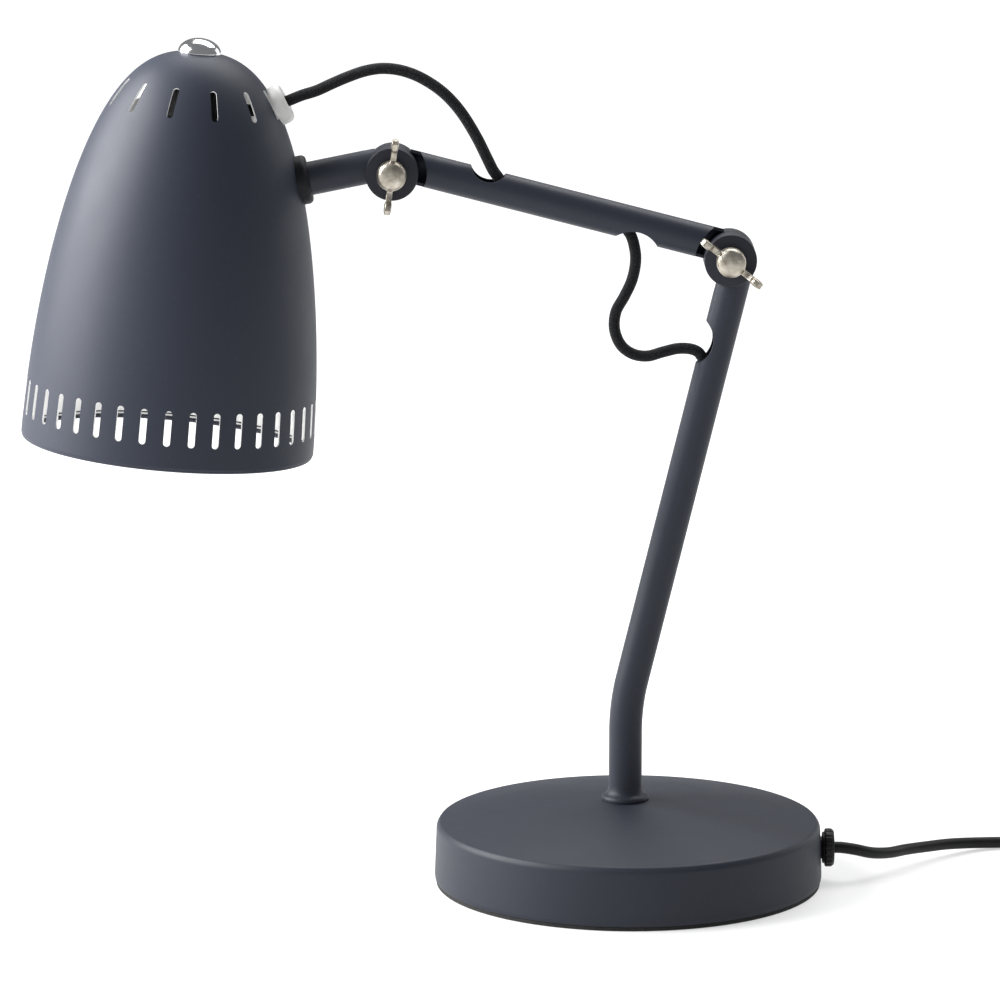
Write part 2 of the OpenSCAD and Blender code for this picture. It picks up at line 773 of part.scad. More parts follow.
module lampholder_cap() {
    color("#1a1a1c") shade_frame() difference() {
        translate([0, 0, holder_mid]) rotate_extrude()
            polygon([[0, 0], [holder_cap_r + 1, 0], [holder_cap_r + 1, 8], [holder_cap_r - 4, 20],
                [9, holder_top - holder_mid], [0, holder_top - holder_mid]]);
        translate([0, 0, holder_mid - 1]) cylinder(r = holder_cap_r - 1.5, h = 9);
        translate([0, 0, holder_mid + 6]) cylinder(r = nipple_r, h = 40);
        translate([4, 0, holder_mid + 13]) rotate([0, 90, 0]) cylinder(r = cord_d / 2, h = 20);
    }
}

module lampholder_skirt() {
    color("#1a1a1c") shade_frame() difference() {
        translate([0, 0, holder_low]) rotate_extrude()
            polygon([[holder_skirt_r - 2, 0], [holder_skirt_r, 0.8], [holder_skirt_r, 14],
                [holder_cap_r + 1.5, 16], [holder_cap_r + 1.5, 32], [holder_cap_r + 1, 40],
                [holder_thread_r, 40], [holder_thread_r, 0]]);
    }
}

module lampholder_contact() {
    color("#c8a850") shade_frame() translate([0, 0, bulb_cap_top]) {
        cylinder(r = 2.6, h = 3);
        translate([0, 0, 3]) cylinder(r = holder_thread_r - 0.05, h = 3);
    }
}

module holder_lead() {
    color("#1c1c1e") lamp_cord(holder_route);
}

module bulb_cap() {
    color("#c9c9c6") shade_frame() rotate_extrude()
        polygon([[0, bulb_neck_z], [bulb_cap_r - 0.6, bulb_neck_z], [bulb_cap_r, bulb_neck_z + 2],
            [bulb_cap_r, bulb_cap_top - 6], [7, bulb_cap_top - 2], [4, bulb_cap_top],
            [0, bulb_cap_top]]);
}

// Hollow globe, open at its neck
module bulb_glass() {
    neck = bulb_cap_r - 1;
    top = 60;
    outer = [for (a = [-90 : 7.5 : top]) [a == -90 ? 0 : bulb_r * cos(a), bulb_z + bulb_r * sin(a)]];
    inner = [
        for (a = [top : -7.5 : -90]) let (r = bulb_r - bulb_wall)
            [a == -90 ? 0 : r * cos(a), bulb_z + r * sin(a)]
    ];
    color("#f4f1e6") shade_frame() rotate_extrude() polygon(concat(outer,
        [[neck, bulb_neck_z], [neck - bulb_wall, bulb_neck_z]], inner));
}

base_shell();
base_weight();
base_pad();
foot_flange();
post_tube();
post_knuckle();
post_nipple();
post_nut();
cord_gland();
gland_nut();
cord_in_post();
mains_cord();
cord_coil();
cord_tie();
cord_to_switch();
cord_to_plug();
switch_base();
switch_cover();
switch_rocker();
plug_body();
plug_pins();
arm_tube();
arm_elbow_knuckle();
arm_head_knuckle();
elbow_bolt();
head_bolt();
elbow_washer();
head_washer();
cord_in_arm();
cord_loop_elbow();
cord_loop_head();
elbow_wing_nut();
head_wing_nut();
neck_tube();
neck_knuckle();
neck_collar();
neck_nut();
shade();
cord_bushing();
crown_knob();
crown_nipple();
crown_nut();
lampholder_cap();
lampholder_skirt();
lampholder_contact();
holder_lead();
bulb_cap();
bulb_glass();
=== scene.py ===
import math
import bpy
import bmesh
import numpy as np
from mathutils import Matrix, Vector


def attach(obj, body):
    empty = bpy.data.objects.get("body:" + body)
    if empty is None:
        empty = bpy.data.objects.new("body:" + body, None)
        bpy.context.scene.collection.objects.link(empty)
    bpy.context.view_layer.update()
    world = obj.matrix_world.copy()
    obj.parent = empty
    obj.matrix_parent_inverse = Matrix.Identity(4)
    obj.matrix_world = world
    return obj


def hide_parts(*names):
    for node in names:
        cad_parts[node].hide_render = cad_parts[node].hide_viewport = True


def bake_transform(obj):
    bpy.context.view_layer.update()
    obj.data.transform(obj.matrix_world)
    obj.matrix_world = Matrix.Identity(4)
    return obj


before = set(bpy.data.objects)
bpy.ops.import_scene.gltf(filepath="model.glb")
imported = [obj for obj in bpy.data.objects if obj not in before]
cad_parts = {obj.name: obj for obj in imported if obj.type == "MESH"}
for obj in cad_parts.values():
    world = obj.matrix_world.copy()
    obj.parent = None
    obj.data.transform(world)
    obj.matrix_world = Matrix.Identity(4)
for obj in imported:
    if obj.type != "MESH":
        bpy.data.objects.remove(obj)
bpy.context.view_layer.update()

MM = 0.001
RAD = math.pi / 180

# ------------------------------------------------------------ camera
cam_data = bpy.data.cameras.new("camera")
cam_data.sensor_width = 36
cam_data.lens = 187.14
cam_data.clip_start, cam_data.clip_end = 0.05, 60
cam = bpy.data.objects.new("camera", cam_data)
bpy.context.scene.collection.objects.link(cam)
cam.location = (-0.06223, -2.450, 0.6536)
camera_down = 10.754
cam.rotation_euler = ((90 - camera_down) * RAD, 0, 0)
bpy.context.scene.camera = cam

# ------------------------------------------------------------ sizes, as in the part (mm)
tube_r, tube_bore = 8.0, 6.5
knuckle_r, knuckle_t, knuckle_gap = 12.5, 12.0, 0.5
knuckle_out = knuckle_gap + knuckle_t
drop = knuckle_r - tube_r
cope_r = knuckle_r + 4
cut_far, cope_over, disc_bite = 30, 0.3, 0.05
tube_end = 6.0
post_tilt, post_x, post_len, bend_z, bend_r = 13.7, -1.5, 210, 74.5, 110.0
arm_rise, arm_len, neck_fall, neck_len = 14.4, 165.5, 11.5, 43.5
base_r, base_edge_h, base_dome_h = 94.0, 30.0, 11.0
apex_z = base_edge_h + base_dome_h
shade_r, shade_len, shade_wall, shade_p, shade_q = 70.0, 189.5, 0.9, 1.79, 2.65
neck_on_shade, cord_on_shade, vent_on_shade = 133.0, 167.0, 168.5
slot_count, vent_count = 38, 12
gland_h = 16.5
lead_x, switch_y = 328, 63


def step(p, a, d):
    return np.array([p[0] + d * math.sin(a * RAD), 0.0, p[2] + d * math.cos(a * RAD)])


def shade_out(h, r=shade_r, length=shade_len):
    return r * max(0.0, 1 - (h / length) ** shade_p) ** (1 / shade_q)


def shade_slope(h):
    t = h / shade_len
    if t <= 0:
        return 0.0
    if t >= 0.999999:
        return 90.0
    k = shade_r / shade_len * shade_p / shade_q
    return math.degrees(math.atan(k * t ** (shade_p - 1) * (1 - t ** shade_p) ** (1 / shade_q - 1)))


def on_bend(a):
    """Point of the post's bend where it has leaned a degrees."""
    return np.array([post_x + bend_r * (1 - math.cos(a * RAD)), 0,
                     bend_z + bend_r * math.sin(a * RAD)])


bend_end = on_bend(post_tilt)
elbow = step(step(bend_end, post_tilt, post_len), post_tilt + 90, -drop)
arm_turn = arm_rise - 90
head = step(elbow, arm_turn, arm_len)
neck_turn = -90 - neck_fall
shade_turn = shade_slope(neck_on_shade) - neck_fall
neck_end = step(step(head, neck_turn, neck_len), neck_turn + 90, drop)
shade_origin = step(step(neck_end, shade_turn, -neck_on_shade),
                    shade_turn + 90, -shade_out(neck_on_shade))


def at(p, a):
    """Frame at p (mm) whose +Z leans a degrees towards +X, in metres."""
    return Matrix.Translation(Vector(p) * MM) @ spin(a, "Y")


def shift(x, y, z):
    return Matrix.Translation(Vector((x, y, z)) * MM)


def spin(a, axis):
    return Matrix.Rotation(a * RAD, 4, axis)


IN_SHADE = at(shade_origin, shade_turn)
elbow_post, arm_frame = at(elbow, post_tilt), at(elbow, arm_turn)
head_frame, neck_frame = at(head, arm_turn), at(head, neck_turn)
SIDEWAYS = Matrix(((0, 0, 1, 0), (1, 0, 0, 0), (0, 1, 0, 0), (0, 0, 0, 1)))


def on_shade(h):
    return IN_SHADE @ shift(shade_out(h), 0, h) @ spin(90 - shade_slope(h), "Y")


# ------------------------------------------------------------ mesh helpers
def from_data(name, verts, faces, place=None, sharp=35, uv=None):
    """Mesh object from millimetre points; place puts it in the row frame."""
    me = bpy.data.meshes.new(name)
    me.from_pydata([tuple(float(c) * MM for c in v) for v in verts], [], faces)
    if uv is not None:
        layer = me.uv_layers.new(name="UVMap")
        for loop in me.loops:
            layer.data[loop.index].uv = uv[loop.index]
    me.validate()
    if place is not None:
        me.transform(place)
    o = bpy.data.objects.new(name, me)
    bpy.context.scene.collection.objects.link(o)
    smooth(o, sharp)
    return o


def smooth(o, sharp=35):
    me = o.data
    for poly in me.polygons:
        poly.use_smooth = True
    if sharp is not None:
        me.set_sharp_from_angle(angle=sharp * RAD)
    return o


def rounded(points, radius, n=5):
    """Rounds the corners of an open profile. radius is one number or one per point."""
    pts = [np.array(p, float) for p in points]
    rs = [radius] * len(pts) if not isinstance(radius, (list, tuple)) else list(radius)
    out = [pts[0]]
    for i in range(1, len(pts) - 1):
        a, b, c = pts[i - 1], pts[i], pts[i + 1]
        la, lc = np.linalg.norm(a - b), np.linalg.norm(c - b)
        r = min(rs[i], 0.48 * la, 0.48 * lc)
        if r < 1e-3:
            out.append(b)
            continue
        s, e = b + (a - b) / la * r, b + (c - b) / lc * r
        for k in range(n + 1):
            t = k / n
            out.append((1 - t) ** 2 * s + 2 * t * (1 - t) * b + t * t * e)
    out.append(pts[-1])
    return out


def lathe(name, profile, place=None, n=96, sharp=35, closed=False):
    """Turns an (r, z) profile round Z. Points with r = 0 become poles."""
    verts, rows, faces = [], [], []
    for r, z in profile:
        if r < 1e-6:
            rows.append([len(verts)] * n)
            verts.append((0, 0, z))
        else:
            rows.append(list(range(len(verts), len(verts) + n)))
            for j in range(n):
                a = 2 * math.pi * j / n
                verts.append((r * math.cos(a), r * math.sin(a), z))
    pairs = list(zip(rows[:-1], rows[1:]))
    if closed:
        pairs.append((rows[-1], rows[0]))
    for lo, hi in pairs:
        for j in range(n):
            k = (j + 1) % n
            f = []
            for v in (lo[j], lo[k], hi[k], hi[j]):
                if v not in f:
                    f.append(v)
            if len(f) > 2:
                faces.append(f)
    o = from_data(name, verts, faces, place, None)
    bm = bmesh.new()
    bm.from_mesh(o.data)
    bmesh.ops.recalc_face_normals(bm, faces=bm.faces)
    bm.to_mesh(o.data)
    bm.free()
    return smooth(o, sharp)


def dense(route, gap=1.5):
    """Smooth curve through every route point, resampled at even gaps (mm)."""
    p = np.array(route, float)
    ext = np.vstack([2 * p[0] - p[1], p, 2 * p[-1] - p[-2]])
    out = []
    for i in range(1, len(ext) - 2):
        p0, p1, p2, p3 = ext[i - 1: i + 3]
        t = [0.0]
        for a, b in ((p0, p1), (p1, p2), (p2, p3)):
            t.append(t[-1] + max(np.linalg.norm(b - a), 1e-6) ** 0.5)
        m = max(2, int(np.linalg.norm(p2 - p1) / 0.5))
        for k in range(m):
            x = t[1] + (t[2] - t[1]) * k / m
            a1 = (t[1] - x) / (t[1] - t[0]) * p0 + (x - t[0]) / (t[1] - t[0]) * p1
            a2 = (t[2] - x) / (t[2] - t[1]) * p1 + (x - t[1]) / (t[2] - t[1]) * p2
            a3 = (t[3] - x) / (t[3] - t[2]) * p2 + (x - t[2]) / (t[3] - t[2]) * p3
            b1 = (t[2] - x) / (t[2] - t[0]) * a1 + (x - t[0]) / (t[2] - t[0]) * a2
            b2 = (t[3] - x) / (t[3] - t[1]) * a2 + (x - t[1]) / (t[3] - t[1]) * a3
            out.append((t[2] - x) / (t[2] - t[1]) * b1 + (x - t[1]) / (t[2] - t[1]) * b2)
    out.append(p[-1])
    out = np.array(out)
    s = np.concatenate([[0], np.cumsum(np.linalg.norm(np.diff(out, axis=0), axis=1))])
    u = np.linspace(0, s[-1], max(3, int(round(s[-1] / gap)) + 1))
    return np.stack([np.interp(u, s, out[:, k]) for k in range(3)], axis=1)


def dense_profile(points, gap=0.25):
    """Smooth (r, z) profile through every point."""
    return [(max(0.0, p[0]), p[2]) for p in dense([(a, 0, b) for a, b in points], gap)]


def nearest(path, point):
    return int(np.argmin(np.linalg.norm(path - np.array(point), axis=1)))


def tube(name, path, r, sides=24, flat=(0, 1, 0), cap=True):
    """Round tube along a path (mm) with UVs: u once round, v in metres along it."""
    n = len(path)
    d = np.gradient(path, axis=0)
    d /= np.linalg.norm(d, axis=1)[:, None]
    s = np.concatenate([[0], np.cumsum(np.linalg.norm(np.diff(path, axis=0), axis=1))])
    ref = np.array(flat, float)
    verts = []
    side = np.cross(ref, d[0])
    for i in range(n):
        side = side - d[i] * (side @ d[i])
        side /= np.linalg.norm(side)
        up = np.cross(d[i], side)
        for j in range(sides):
            a = 2 * math.pi * j / sides
            verts.append(path[i] + r * (math.cos(a) * side + math.sin(a) * up))
    faces, uv = [], []
    for i in range(n - 1):
        for j in range(sides):
            k = (j + 1) % sides
            faces.append((i * sides + j, i * sides + k, (i + 1) * sides + k, (i + 1) * sides + j))
            u0, u1, v0, v1 = j / sides, (j + 1) / sides, s[i] * MM, s[i + 1] * MM
            uv += [(u0, v0), (u1, v0), (u1, v1), (u0, v1)]
    if cap:
        faces += [tuple(reversed(range(sides))), tuple(range((n - 1) * sides, n * sides))]
        uv += [(0.5, 0)] * sides + [(0.5, s[-1] * MM)] * sides
    return from_data(name, verts, faces, None, 50, uv)


def pipe(name, path, r_out, r_in, sides=96, flat=(0, 1, 0)):
    """Hollow tube along a path (mm), open at both ends."""
    n = len(path)
    d = np.gradient(path, axis=0)
    d /= np.linalg.norm(d, axis=1)[:, None]
    side = np.cross(np.array(flat, float), d[0])
    verts = []
    for i in range(n):
        side = side - d[i] * (side @ d[i])
        side /= np.linalg.norm(side)
        up = np.cross(d[i], side)
        for r in (r_out, r_in):
            for j in range(sides):
                a = 2 * math.pi * j / sides
                verts.append(path[i] + r * (math.cos(a) * side + math.sin(a) * up))
    faces = []
    for j in range(sides):
        k = (j + 1) % sides
        for i in range(n - 1):
            lo, hi = 2 * i * sides, 2 * (i + 1) * sides
            faces.append((lo + j, lo + k, hi + k, hi + j))
            faces.append((lo + sides + k, lo + sides + j, hi + sides + j, hi + sides + k))
        end = 2 * (n - 1) * sides
        faces.append((j, sides + j, sides + k, k))
        faces.append((end + k, end + sides + k, end + sides + j, end + j))
    return from_data(name, verts, faces, None, 35)


def prism(name, outline, depth, place=None):
    """Extrudes a closed XY outline (mm) by depth along Z."""
    n = len(outline)
    verts = [(x, y, 0) for x, y in outline] + [(x, y, depth) for x, y in outline]
    faces = [tuple(reversed(range(n))), tuple(range(n, 2 * n))]
    faces += [(i, (i + 1) % n, n + (i + 1) % n, n + i) for i in range(n)]
    return from_data(name, verts, faces, place, 35)


def rod(name, r, y0, y1, place, n=96):
    """Cutter: cylinder along Y of a frame."""
    turn = spin(-90, "X")
    return lathe(name, [(0, y0), (r, y0), (r, y1), (0, y1)], place @ turn, n)


def apply_mods(o):
    dg = bpy.context.evaluated_depsgraph_get()
    me = bpy.data.meshes.new_from_object(o.evaluated_get(dg))
    old = o.data
    o.modifiers.clear()
    o.data = me
    bpy.data.meshes.remove(old)
    return o


def boolean(o, cutters, op="DIFFERENCE"):
    col = bpy.data.collections.new("cut")
    for c in cutters:
        for u in list(c.users_collection):
            u.objects.unlink(c)
        col.objects.link(c)
    bpy.context.scene.collection.children.link(col)
    m = o.modifiers.new("b", "BOOLEAN")
    m.operation, m.solver, m.operand_type, m.collection = op, "EXACT", "COLLECTION", col
    m.use_self = len(cutters) > 1
    apply_mods(o)
    for c in cutters:
        me = c.data
        bpy.data.objects.remove(c)
        bpy.data.meshes.remove(me)
    bpy.data.collections.remove(col)
    return o


def bevel(o, width, segments=3, angle=30):
    m = o.modifiers.new("bevel", "BEVEL")
    m.width, m.segments, m.limit_method, m.angle_limit = width * MM, segments, "ANGLE", angle * RAD
    m.harden_normals = False
    apply_mods(o)
    return smooth(o, 40)


def join(name, objs):
    bm = bmesh.new()
    for x in objs:
        bm.from_mesh(x.data)
    me = bpy.data.meshes.new(name)
    bm.to_mesh(me)
    bm.free()
    for x in objs:
        old = x.data
        bpy.data.objects.remove(x)
        bpy.data.meshes.remove(old)
    o = bpy.data.objects.new(name, me)
    bpy.context.scene.collection.objects.link(o)
    return o


def normals_from(o, rule):
    """Sets each corner's normal to rule(face centre, face normal, corner), if it gives one."""
    me = o.data
    out = []
    for poly in me.polygons:
        c, n = poly.center, poly.normal
        for li in poly.loop_indices:
            v = rule(c, n, me.vertices[me.loops[li].vertex_index].co)
            out.append(tuple(v) if v is not None else tuple(n))
    me.normals_split_custom_set(out)
    return o


# ------------------------------------------------------------ materials
class Nodes:
    """Short hand for building one material's node tree."""

    def __init__(self, name):
        self.m = bpy.data.materials.new(name)
        self.m.use_nodes = True
        self.t = self.m.node_tree
        self.b = self.t.nodes["Principled BSDF"]
        self.coord = self.t.nodes.new("ShaderNodeTexCoord")

    def new(self, kind, **values):
        n = self.t.nodes.new(kind)
        for k, v in values.items():
            setattr(n, k, v)
        return n

    def link(self, a, b):
        self.t.links.new(a, b)

    def noise(self, scale, detail=4, rough=0.55, vector=None, distortion=0.0):
        n = self.new("ShaderNodeTexNoise")
        n.inputs["Scale"].default_value = scale
        n.inputs["Detail"].default_value = detail
        n.inputs["Roughness"].default_value = rough
        n.inputs["Distortion"].default_value = distortion
        self.link(vector or self.coord.outputs["Object"], n.inputs["Vector"])
        return n.outputs["Fac"]

    def remap(self, v, a, b, lo=0.3, hi=0.7):
        m = self.new("ShaderNodeMapRange")
        m.inputs["From Min"].default_value = lo
        m.inputs["From Max"].default_value = hi
        m.inputs["To Min"].default_value = a
        m.inputs["To Max"].default_value = b
        self.link(v, m.inputs["Value"])
        return m.outputs["Result"]

    def math(self, op, a, b=None, c=None):
        m = self.new("ShaderNodeMath", operation=op)
        for i, x in enumerate((a, b, c)):
            if x is None:
                continue
            if isinstance(x, (int, float)):
                m.inputs[i].default_value = x
            else:
                self.link(x, m.inputs[i])
        return m.outputs[0]

    def mix(self, fac, a, b):
        m = self.new("ShaderNodeMix", data_type="RGBA")
        ins = {"f": m.inputs[0], "a": m.inputs[6], "b": m.inputs[7]}
        for key, x in (("f", fac), ("a", a), ("b", b)):
            if isinstance(x, (int, float)):
                ins[key].default_value = x
            elif isinstance(x, (tuple, list)):
                ins[key].default_value = (*x, 1)
            else:
                self.link(x, ins[key])
        return m.outputs[2]

    def bump(self, height, distance, strength=1.0, under=None):
        n = self.new("ShaderNodeBump")
        n.inputs["Strength"].default_value = strength
        n.inputs["Distance"].default_value = distance
        self.link(height, n.inputs["Height"])
        if under is not None:
            self.link(under, n.inputs["Normal"])
        return n.outputs["Normal"]

    def set(self, name, v):
        s = self.b.inputs[name]
        if isinstance(v, (int, float)):
            s.default_value = v
        elif isinstance(v, (tuple, list)):
            s.default_value = (*v, 1) if len(v) == 3 and s.type == "RGBA" else v
        else:
            self.link(v, s)


def paint(name, colour, rough=0.5, grain=900, depth=0.00003, spec=0.25, vary=0.06):
    """Fine-textured satin paint: slow colour drift, fine grain, dust in the roughness."""
    k = Nodes(name)
    drift = k.remap(k.noise(9, 3), 0, 1)
    fine = k.noise(grain, 3, 0.6)
    lo = tuple(c * (1 - vary) for c in colour)
    hi = tuple(c * (1 + vary) for c in colour)
    base = k.mix(drift, lo, hi)
    specks = k.remap(k.noise(grain * 0.55, 2, 0.5), 0, 1, 0.62, 0.74)
    base = k.mix(k.math("MULTIPLY", specks, 0.16), base, tuple(min(1, c * 1.9) for c in colour))
    k.set("Base Color", base)
    k.set("Roughness", k.math("ADD", k.remap(k.noise(30, 4), rough - 0.03, rough + 0.04),
                              k.remap(fine, -0.02, 0.02)))
    k.set("Specular IOR Level", spec)
    k.set("Normal", k.bump(fine, depth, 0.5))
    return k.m


def plastic(name, colour, rough=0.42, grain=500, depth=0.00004, spec=0.4):
    k = Nodes(name)
    drift = k.remap(k.noise(25, 3), 0, 1)
    fine = k.noise(grain, 4, 0.6)
    k.set("Base Color", k.mix(drift, tuple(c * 0.85 for c in colour),
                              tuple(min(1, c * 1.15) for c in colour)))
    k.set("Roughness", k.remap(fine, rough - 0.05, rough + 0.07))
    k.set("Specular IOR Level", spec)
    k.set("Normal", k.bump(fine, depth, 0.35))
    return k.m


def metal(name, colour, rough=0.16, grain=220, depth=0.00005, tarnish=None, smudge=0.07, patch=70):
    k = Nodes(name)
    big = k.remap(k.noise(patch, 4, 0.6), 0, 1)
    fine = k.noise(grain, 4, 0.65)
    k.set("Base Color", k.mix(big, colour, tarnish or tuple(c * 0.8 for c in colour)))
    k.set("Metallic", 1.0)
    k.set("Roughness", k.math("ADD", k.remap(k.noise(160, 3), rough, rough + smudge),
                              k.remap(fine, -0.02, 0.02)))
    k.set("Normal", k.bump(fine, depth, 0.5))
    return k.m


def braid(name):
    """Braided textile from the tube's UVs: two sets of strands that cross over and under."""
    k = Nodes(name)
    sep = k.new("ShaderNodeSeparateXYZ")
    k.link(k.coord.outputs["UV"], sep.inputs[0])
    u, v = sep.outputs["X"], sep.outputs["Y"]
    around, pitch = 10.0, 0.0125
    along = k.math("MULTIPLY", v, around / pitch)
    turn = k.math("MULTIPLY", u, around)
    a = k.math("ADD", turn, along)
    b = k.math("SUBTRACT", turn, along)
    fa, fb = k.math("FRACT", a), k.math("FRACT", b)

    def ridge(f):
        x = k.math("SUBTRACT", k.math("MULTIPLY", f, 2.0), 1.0)
        left = k.math("SUBTRACT", 1.0, k.math("MULTIPLY", x, x))
        return k.math("SQRT", k.math("MAXIMUM", left, 0.0))

    parity = k.math("MODULO", k.math("ADD", k.math("FLOOR", a), k.math("FLOOR", b)), 2.0)
    over = k.math("GREATER_THAN", k.math("ABSOLUTE", parity), 0.5)
    ha, hb = ridge(fa), ridge(fb)
    height = k.math("ADD", k.math("MULTIPLY", ha, over),
                    k.math("MULTIPLY", hb, k.math("SUBTRACT", 1.0, over)))
    thread = k.math("ABSOLUTE", k.math("SINE", k.math("MULTIPLY", k.math("ADD", fa, fb), 15.0)))
    height = k.math("ADD", height, k.math("MULTIPLY", thread, 0.16))
    flecks = k.noise(1700, 2, 0.6)
    grey = k.remap(flecks, 0, 1, 0.56, 0.68)
    # Strand colour follows strand height: the valleys between strands are painted darker, painted shade
    # in the crevices of the braid.
    strands_painted_shade = k.mix(k.remap(height, 0, 1, 0.2, 1.0), (0.0025, 0.0025, 0.003), (0.008, 0.0083, 0.0095))
    k.set("Base Color", k.mix(k.math("MULTIPLY", grey, 0.6), strands_painted_shade, (0.045, 0.048, 0.055)))
    k.set("Roughness", 0.8)
    k.set("Specular IOR Level", 0.12)
    k.set("Sheen Weight", 0.08)
    k.set("Sheen Roughness", 0.5)
    k.set("Normal", k.bump(height, 0.00032, 0.9))
    return k.m


def sheath(name, colour=(0.006, 0.006, 0.0065)):
    k = Nodes(name)
    fine = k.noise(700, 3, 0.6)
    wave = k.noise(40, 3)
    k.set("Base Color", k.mix(k.remap(wave, 0, 1), colour, tuple(c * 1.6 for c in colour)))
    k.set("Roughness", k.remap(wave, 0.44, 0.56))
    k.set("Specular IOR Level", 0.2)
    k.set("Normal", k.bump(fine, 0.00002, 0.4, k.bump(wave, 0.0003, 0.3)))
    return k.m


def cast_iron(name):
    k = Nodes(name)
    rough = k.noise(260, 6, 0.7)
    k.set("Base Color", k.mix(k.remap(k.noise(40, 4), 0, 1),
                              (0.05, 0.05, 0.052), (0.09, 0.08, 0.072)))
    k.set("Metallic", 0.6)
    k.set("Roughness", k.remap(rough, 0.6, 0.8))
    k.set("Normal", k.bump(rough, 0.0003, 0.8))
    return k.m


def foam(name):
    k = Nodes(name)
    cells = k.new("ShaderNodeTexVoronoi")
    cells.inputs["Scale"].default_value = 1100
    k.link(k.coord.outputs["Object"], cells.inputs["Vector"])
    # Colour follows the cell distance: the pit of each cell is painted darker than its rim, painted
    # shade in the pits.
    k.set("Base Color", k.mix(cells.outputs["Distance"], (0.006, 0.006, 0.006), (0.02, 0.02, 0.02)))
    k.set("Roughness", k.remap(k.noise(60, 3), 0.85, 0.97))
    k.set("Normal", k.bump(cells.outputs["Distance"], 0.0003, 0.7))
    return k.m


def opal(name):
    k = Nodes(name)
    k.set("Base Color", k.mix(k.remap(k.noise(18, 3), 0, 1), (0.9, 0.89, 0.86), (0.94, 0.93, 0.9)))
    k.set("Roughness", k.remap(k.noise(90, 3), 0.24, 0.34))
    k.set("Subsurface Weight", 0.25)
    k.set("Subsurface Radius", (0.01, 0.01, 0.01))
    k.set("Normal", k.bump(k.noise(500, 2), 0.00001, 0.2))
    return k.m


def hook_band(name):
    k = Nodes(name)
    loops = k.new("ShaderNodeTexVoronoi")
    loops.inputs["Scale"].default_value = 1500
    k.link(k.coord.outputs["Object"], loops.inputs["Vector"])
    k.set("Base Color", k.mix(loops.outputs["Distance"],
                              (0.03, 0.03, 0.032), (0.008, 0.008, 0.009)))
    k.set("Roughness", 0.92)
    k.set("Sheen Weight", 0.3)
    k.set("Normal", k.bump(loops.outputs["Distance"], 0.0004, 0.9))
    return k.m


def white_enamel(name):
    k = Nodes(name)
    k.set("Base Color", k.mix(k.remap(k.noise(14, 3), 0, 1),
                              (0.78, 0.78, 0.77), (0.86, 0.86, 0.85)))
    k.set("Roughness", k.remap(k.noise(60, 4), 0.38, 0.5))
    k.set("Normal", k.bump(k.noise(700, 3), 0.00003, 0.4))
    return k.m


# Base, tubes, knuckle discs and shade carry one slate paint. The base, tube and disc copies are set
# darker than the shade's by different amounts: painted shade, each copy tuned to how lit that part
# looks.
SLATE = (0.0240, 0.0284, 0.0425)
MAT = {
    "base_paint": paint("base_paint", (0.0205, 0.0240, 0.0340), 0.50, spec=0.24),
    "tube_paint": paint("tube_paint", (0.0230, 0.0268, 0.0390), 0.48),
    "joint_paint": paint("joint_paint", (0.0175, 0.0185, 0.0262), 0.46),
    "shade_paint": paint("shade_paint", SLATE, 0.50),
    "collar_rubber": plastic("collar_rubber", (0.0075, 0.008, 0.011), 0.55, spec=0.22),
    "iron": cast_iron("iron"),
    "pad_foam": foam("pad_foam"),
    "zinc_steel": metal("zinc_steel", (0.62, 0.62, 0.6), 0.3),
    "nickel": metal("nickel", (0.58, 0.54, 0.47), 0.30, 1300, 0.0003,
                    (0.27, 0.24, 0.19), 0.12, 230),
    "fibre": plastic("fibre", (0.02, 0.02, 0.02), 0.7, 400, 0.0001),
    "black_plastic": plastic("black_plastic", (0.0075, 0.0075, 0.008), 0.46, spec=0.22),
    "rocker_plastic": plastic("rocker_plastic", (0.02, 0.02, 0.022), 0.2, 300, 0.00001),
    "braid": braid("braid"),
    "mains_sheath": sheath("mains_sheath"),
    "tie_band": hook_band("tie_band"),
    "plated_brass": metal("plated_brass", (0.74, 0.68, 0.52), 0.2),
    "white_plastic": plastic("white_plastic", (0.70, 0.695, 0.68), 0.42, 300, 0.00002),
    "chrome": metal("chrome", (0.72, 0.72, 0.73), 0.13, 300, 0.000004, (0.66, 0.66, 0.67), 0.02),
    "opal_glass": opal("opal_glass"),
}
ENAMEL = white_enamel("white_enamel")


def finish_piece(o, slot, body, *nodes, extra=()):
    o.data.materials.clear()
    o.data.materials.append(MAT[slot])
    for m in extra:
        o.data.materials.append(m)
    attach(o, body)
    if nodes:
        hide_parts(*nodes)
    return o


# ------------------------------------------------------------ cords (points in mm, as in the part)
POST_ROUTE = [
    (99.9, 0, 16.5), (84, 0, 16.5), (72, 0, 19), (58, 0, 21.5), (38, 0, 22.5), (18, 0, 22.5),
    (5, 0, 25.5), (-1.3, 0, 34), (-1.5, 0, 48), (-1.5, 0, 66), (-0.5, 0, 86), (3, 0, 106),
    (9.5, 0, 132), (16.5, 0, 160), (23.5, 0, 190), (30.5, 0, 220), (35.8, 0, 239),
    (37.4, 0, 250), (35.5, 0, 255.8), (34, 0, 257.9)]
ELBOW_ROUTE = [
    (34, 0, 257.9), (32.5, 0, 260), (29.3, 0, 261.5), (23, 0, 261.9), (15.5, 0, 260.2),
    (8, 0, 258.2), (1, 0, 259.3), (-4.5, 0, 263.5), (-7.6, 0, 271), (-7, 0, 279.5), (-3, 0, 287),
    (0.6, 0, 295), (2.3, 0, 304.5), (1.4, 0, 312), (0, 0, 316.2), (-1.5, 0, 318.5)]
ARM_ROUTE = [
    (-1.5, 0, 318.5), (-3, 0, 320.8), (-7.5, 0, 324.6), (-15, 0, 327.3), (-27, 0, 330.3),
    (-40, 0, 333.6), (-50, 0, 336.2), (-57.5, 0, 338.8), (-62.2, 0, 342.8), (-63.8, 0, 345)]
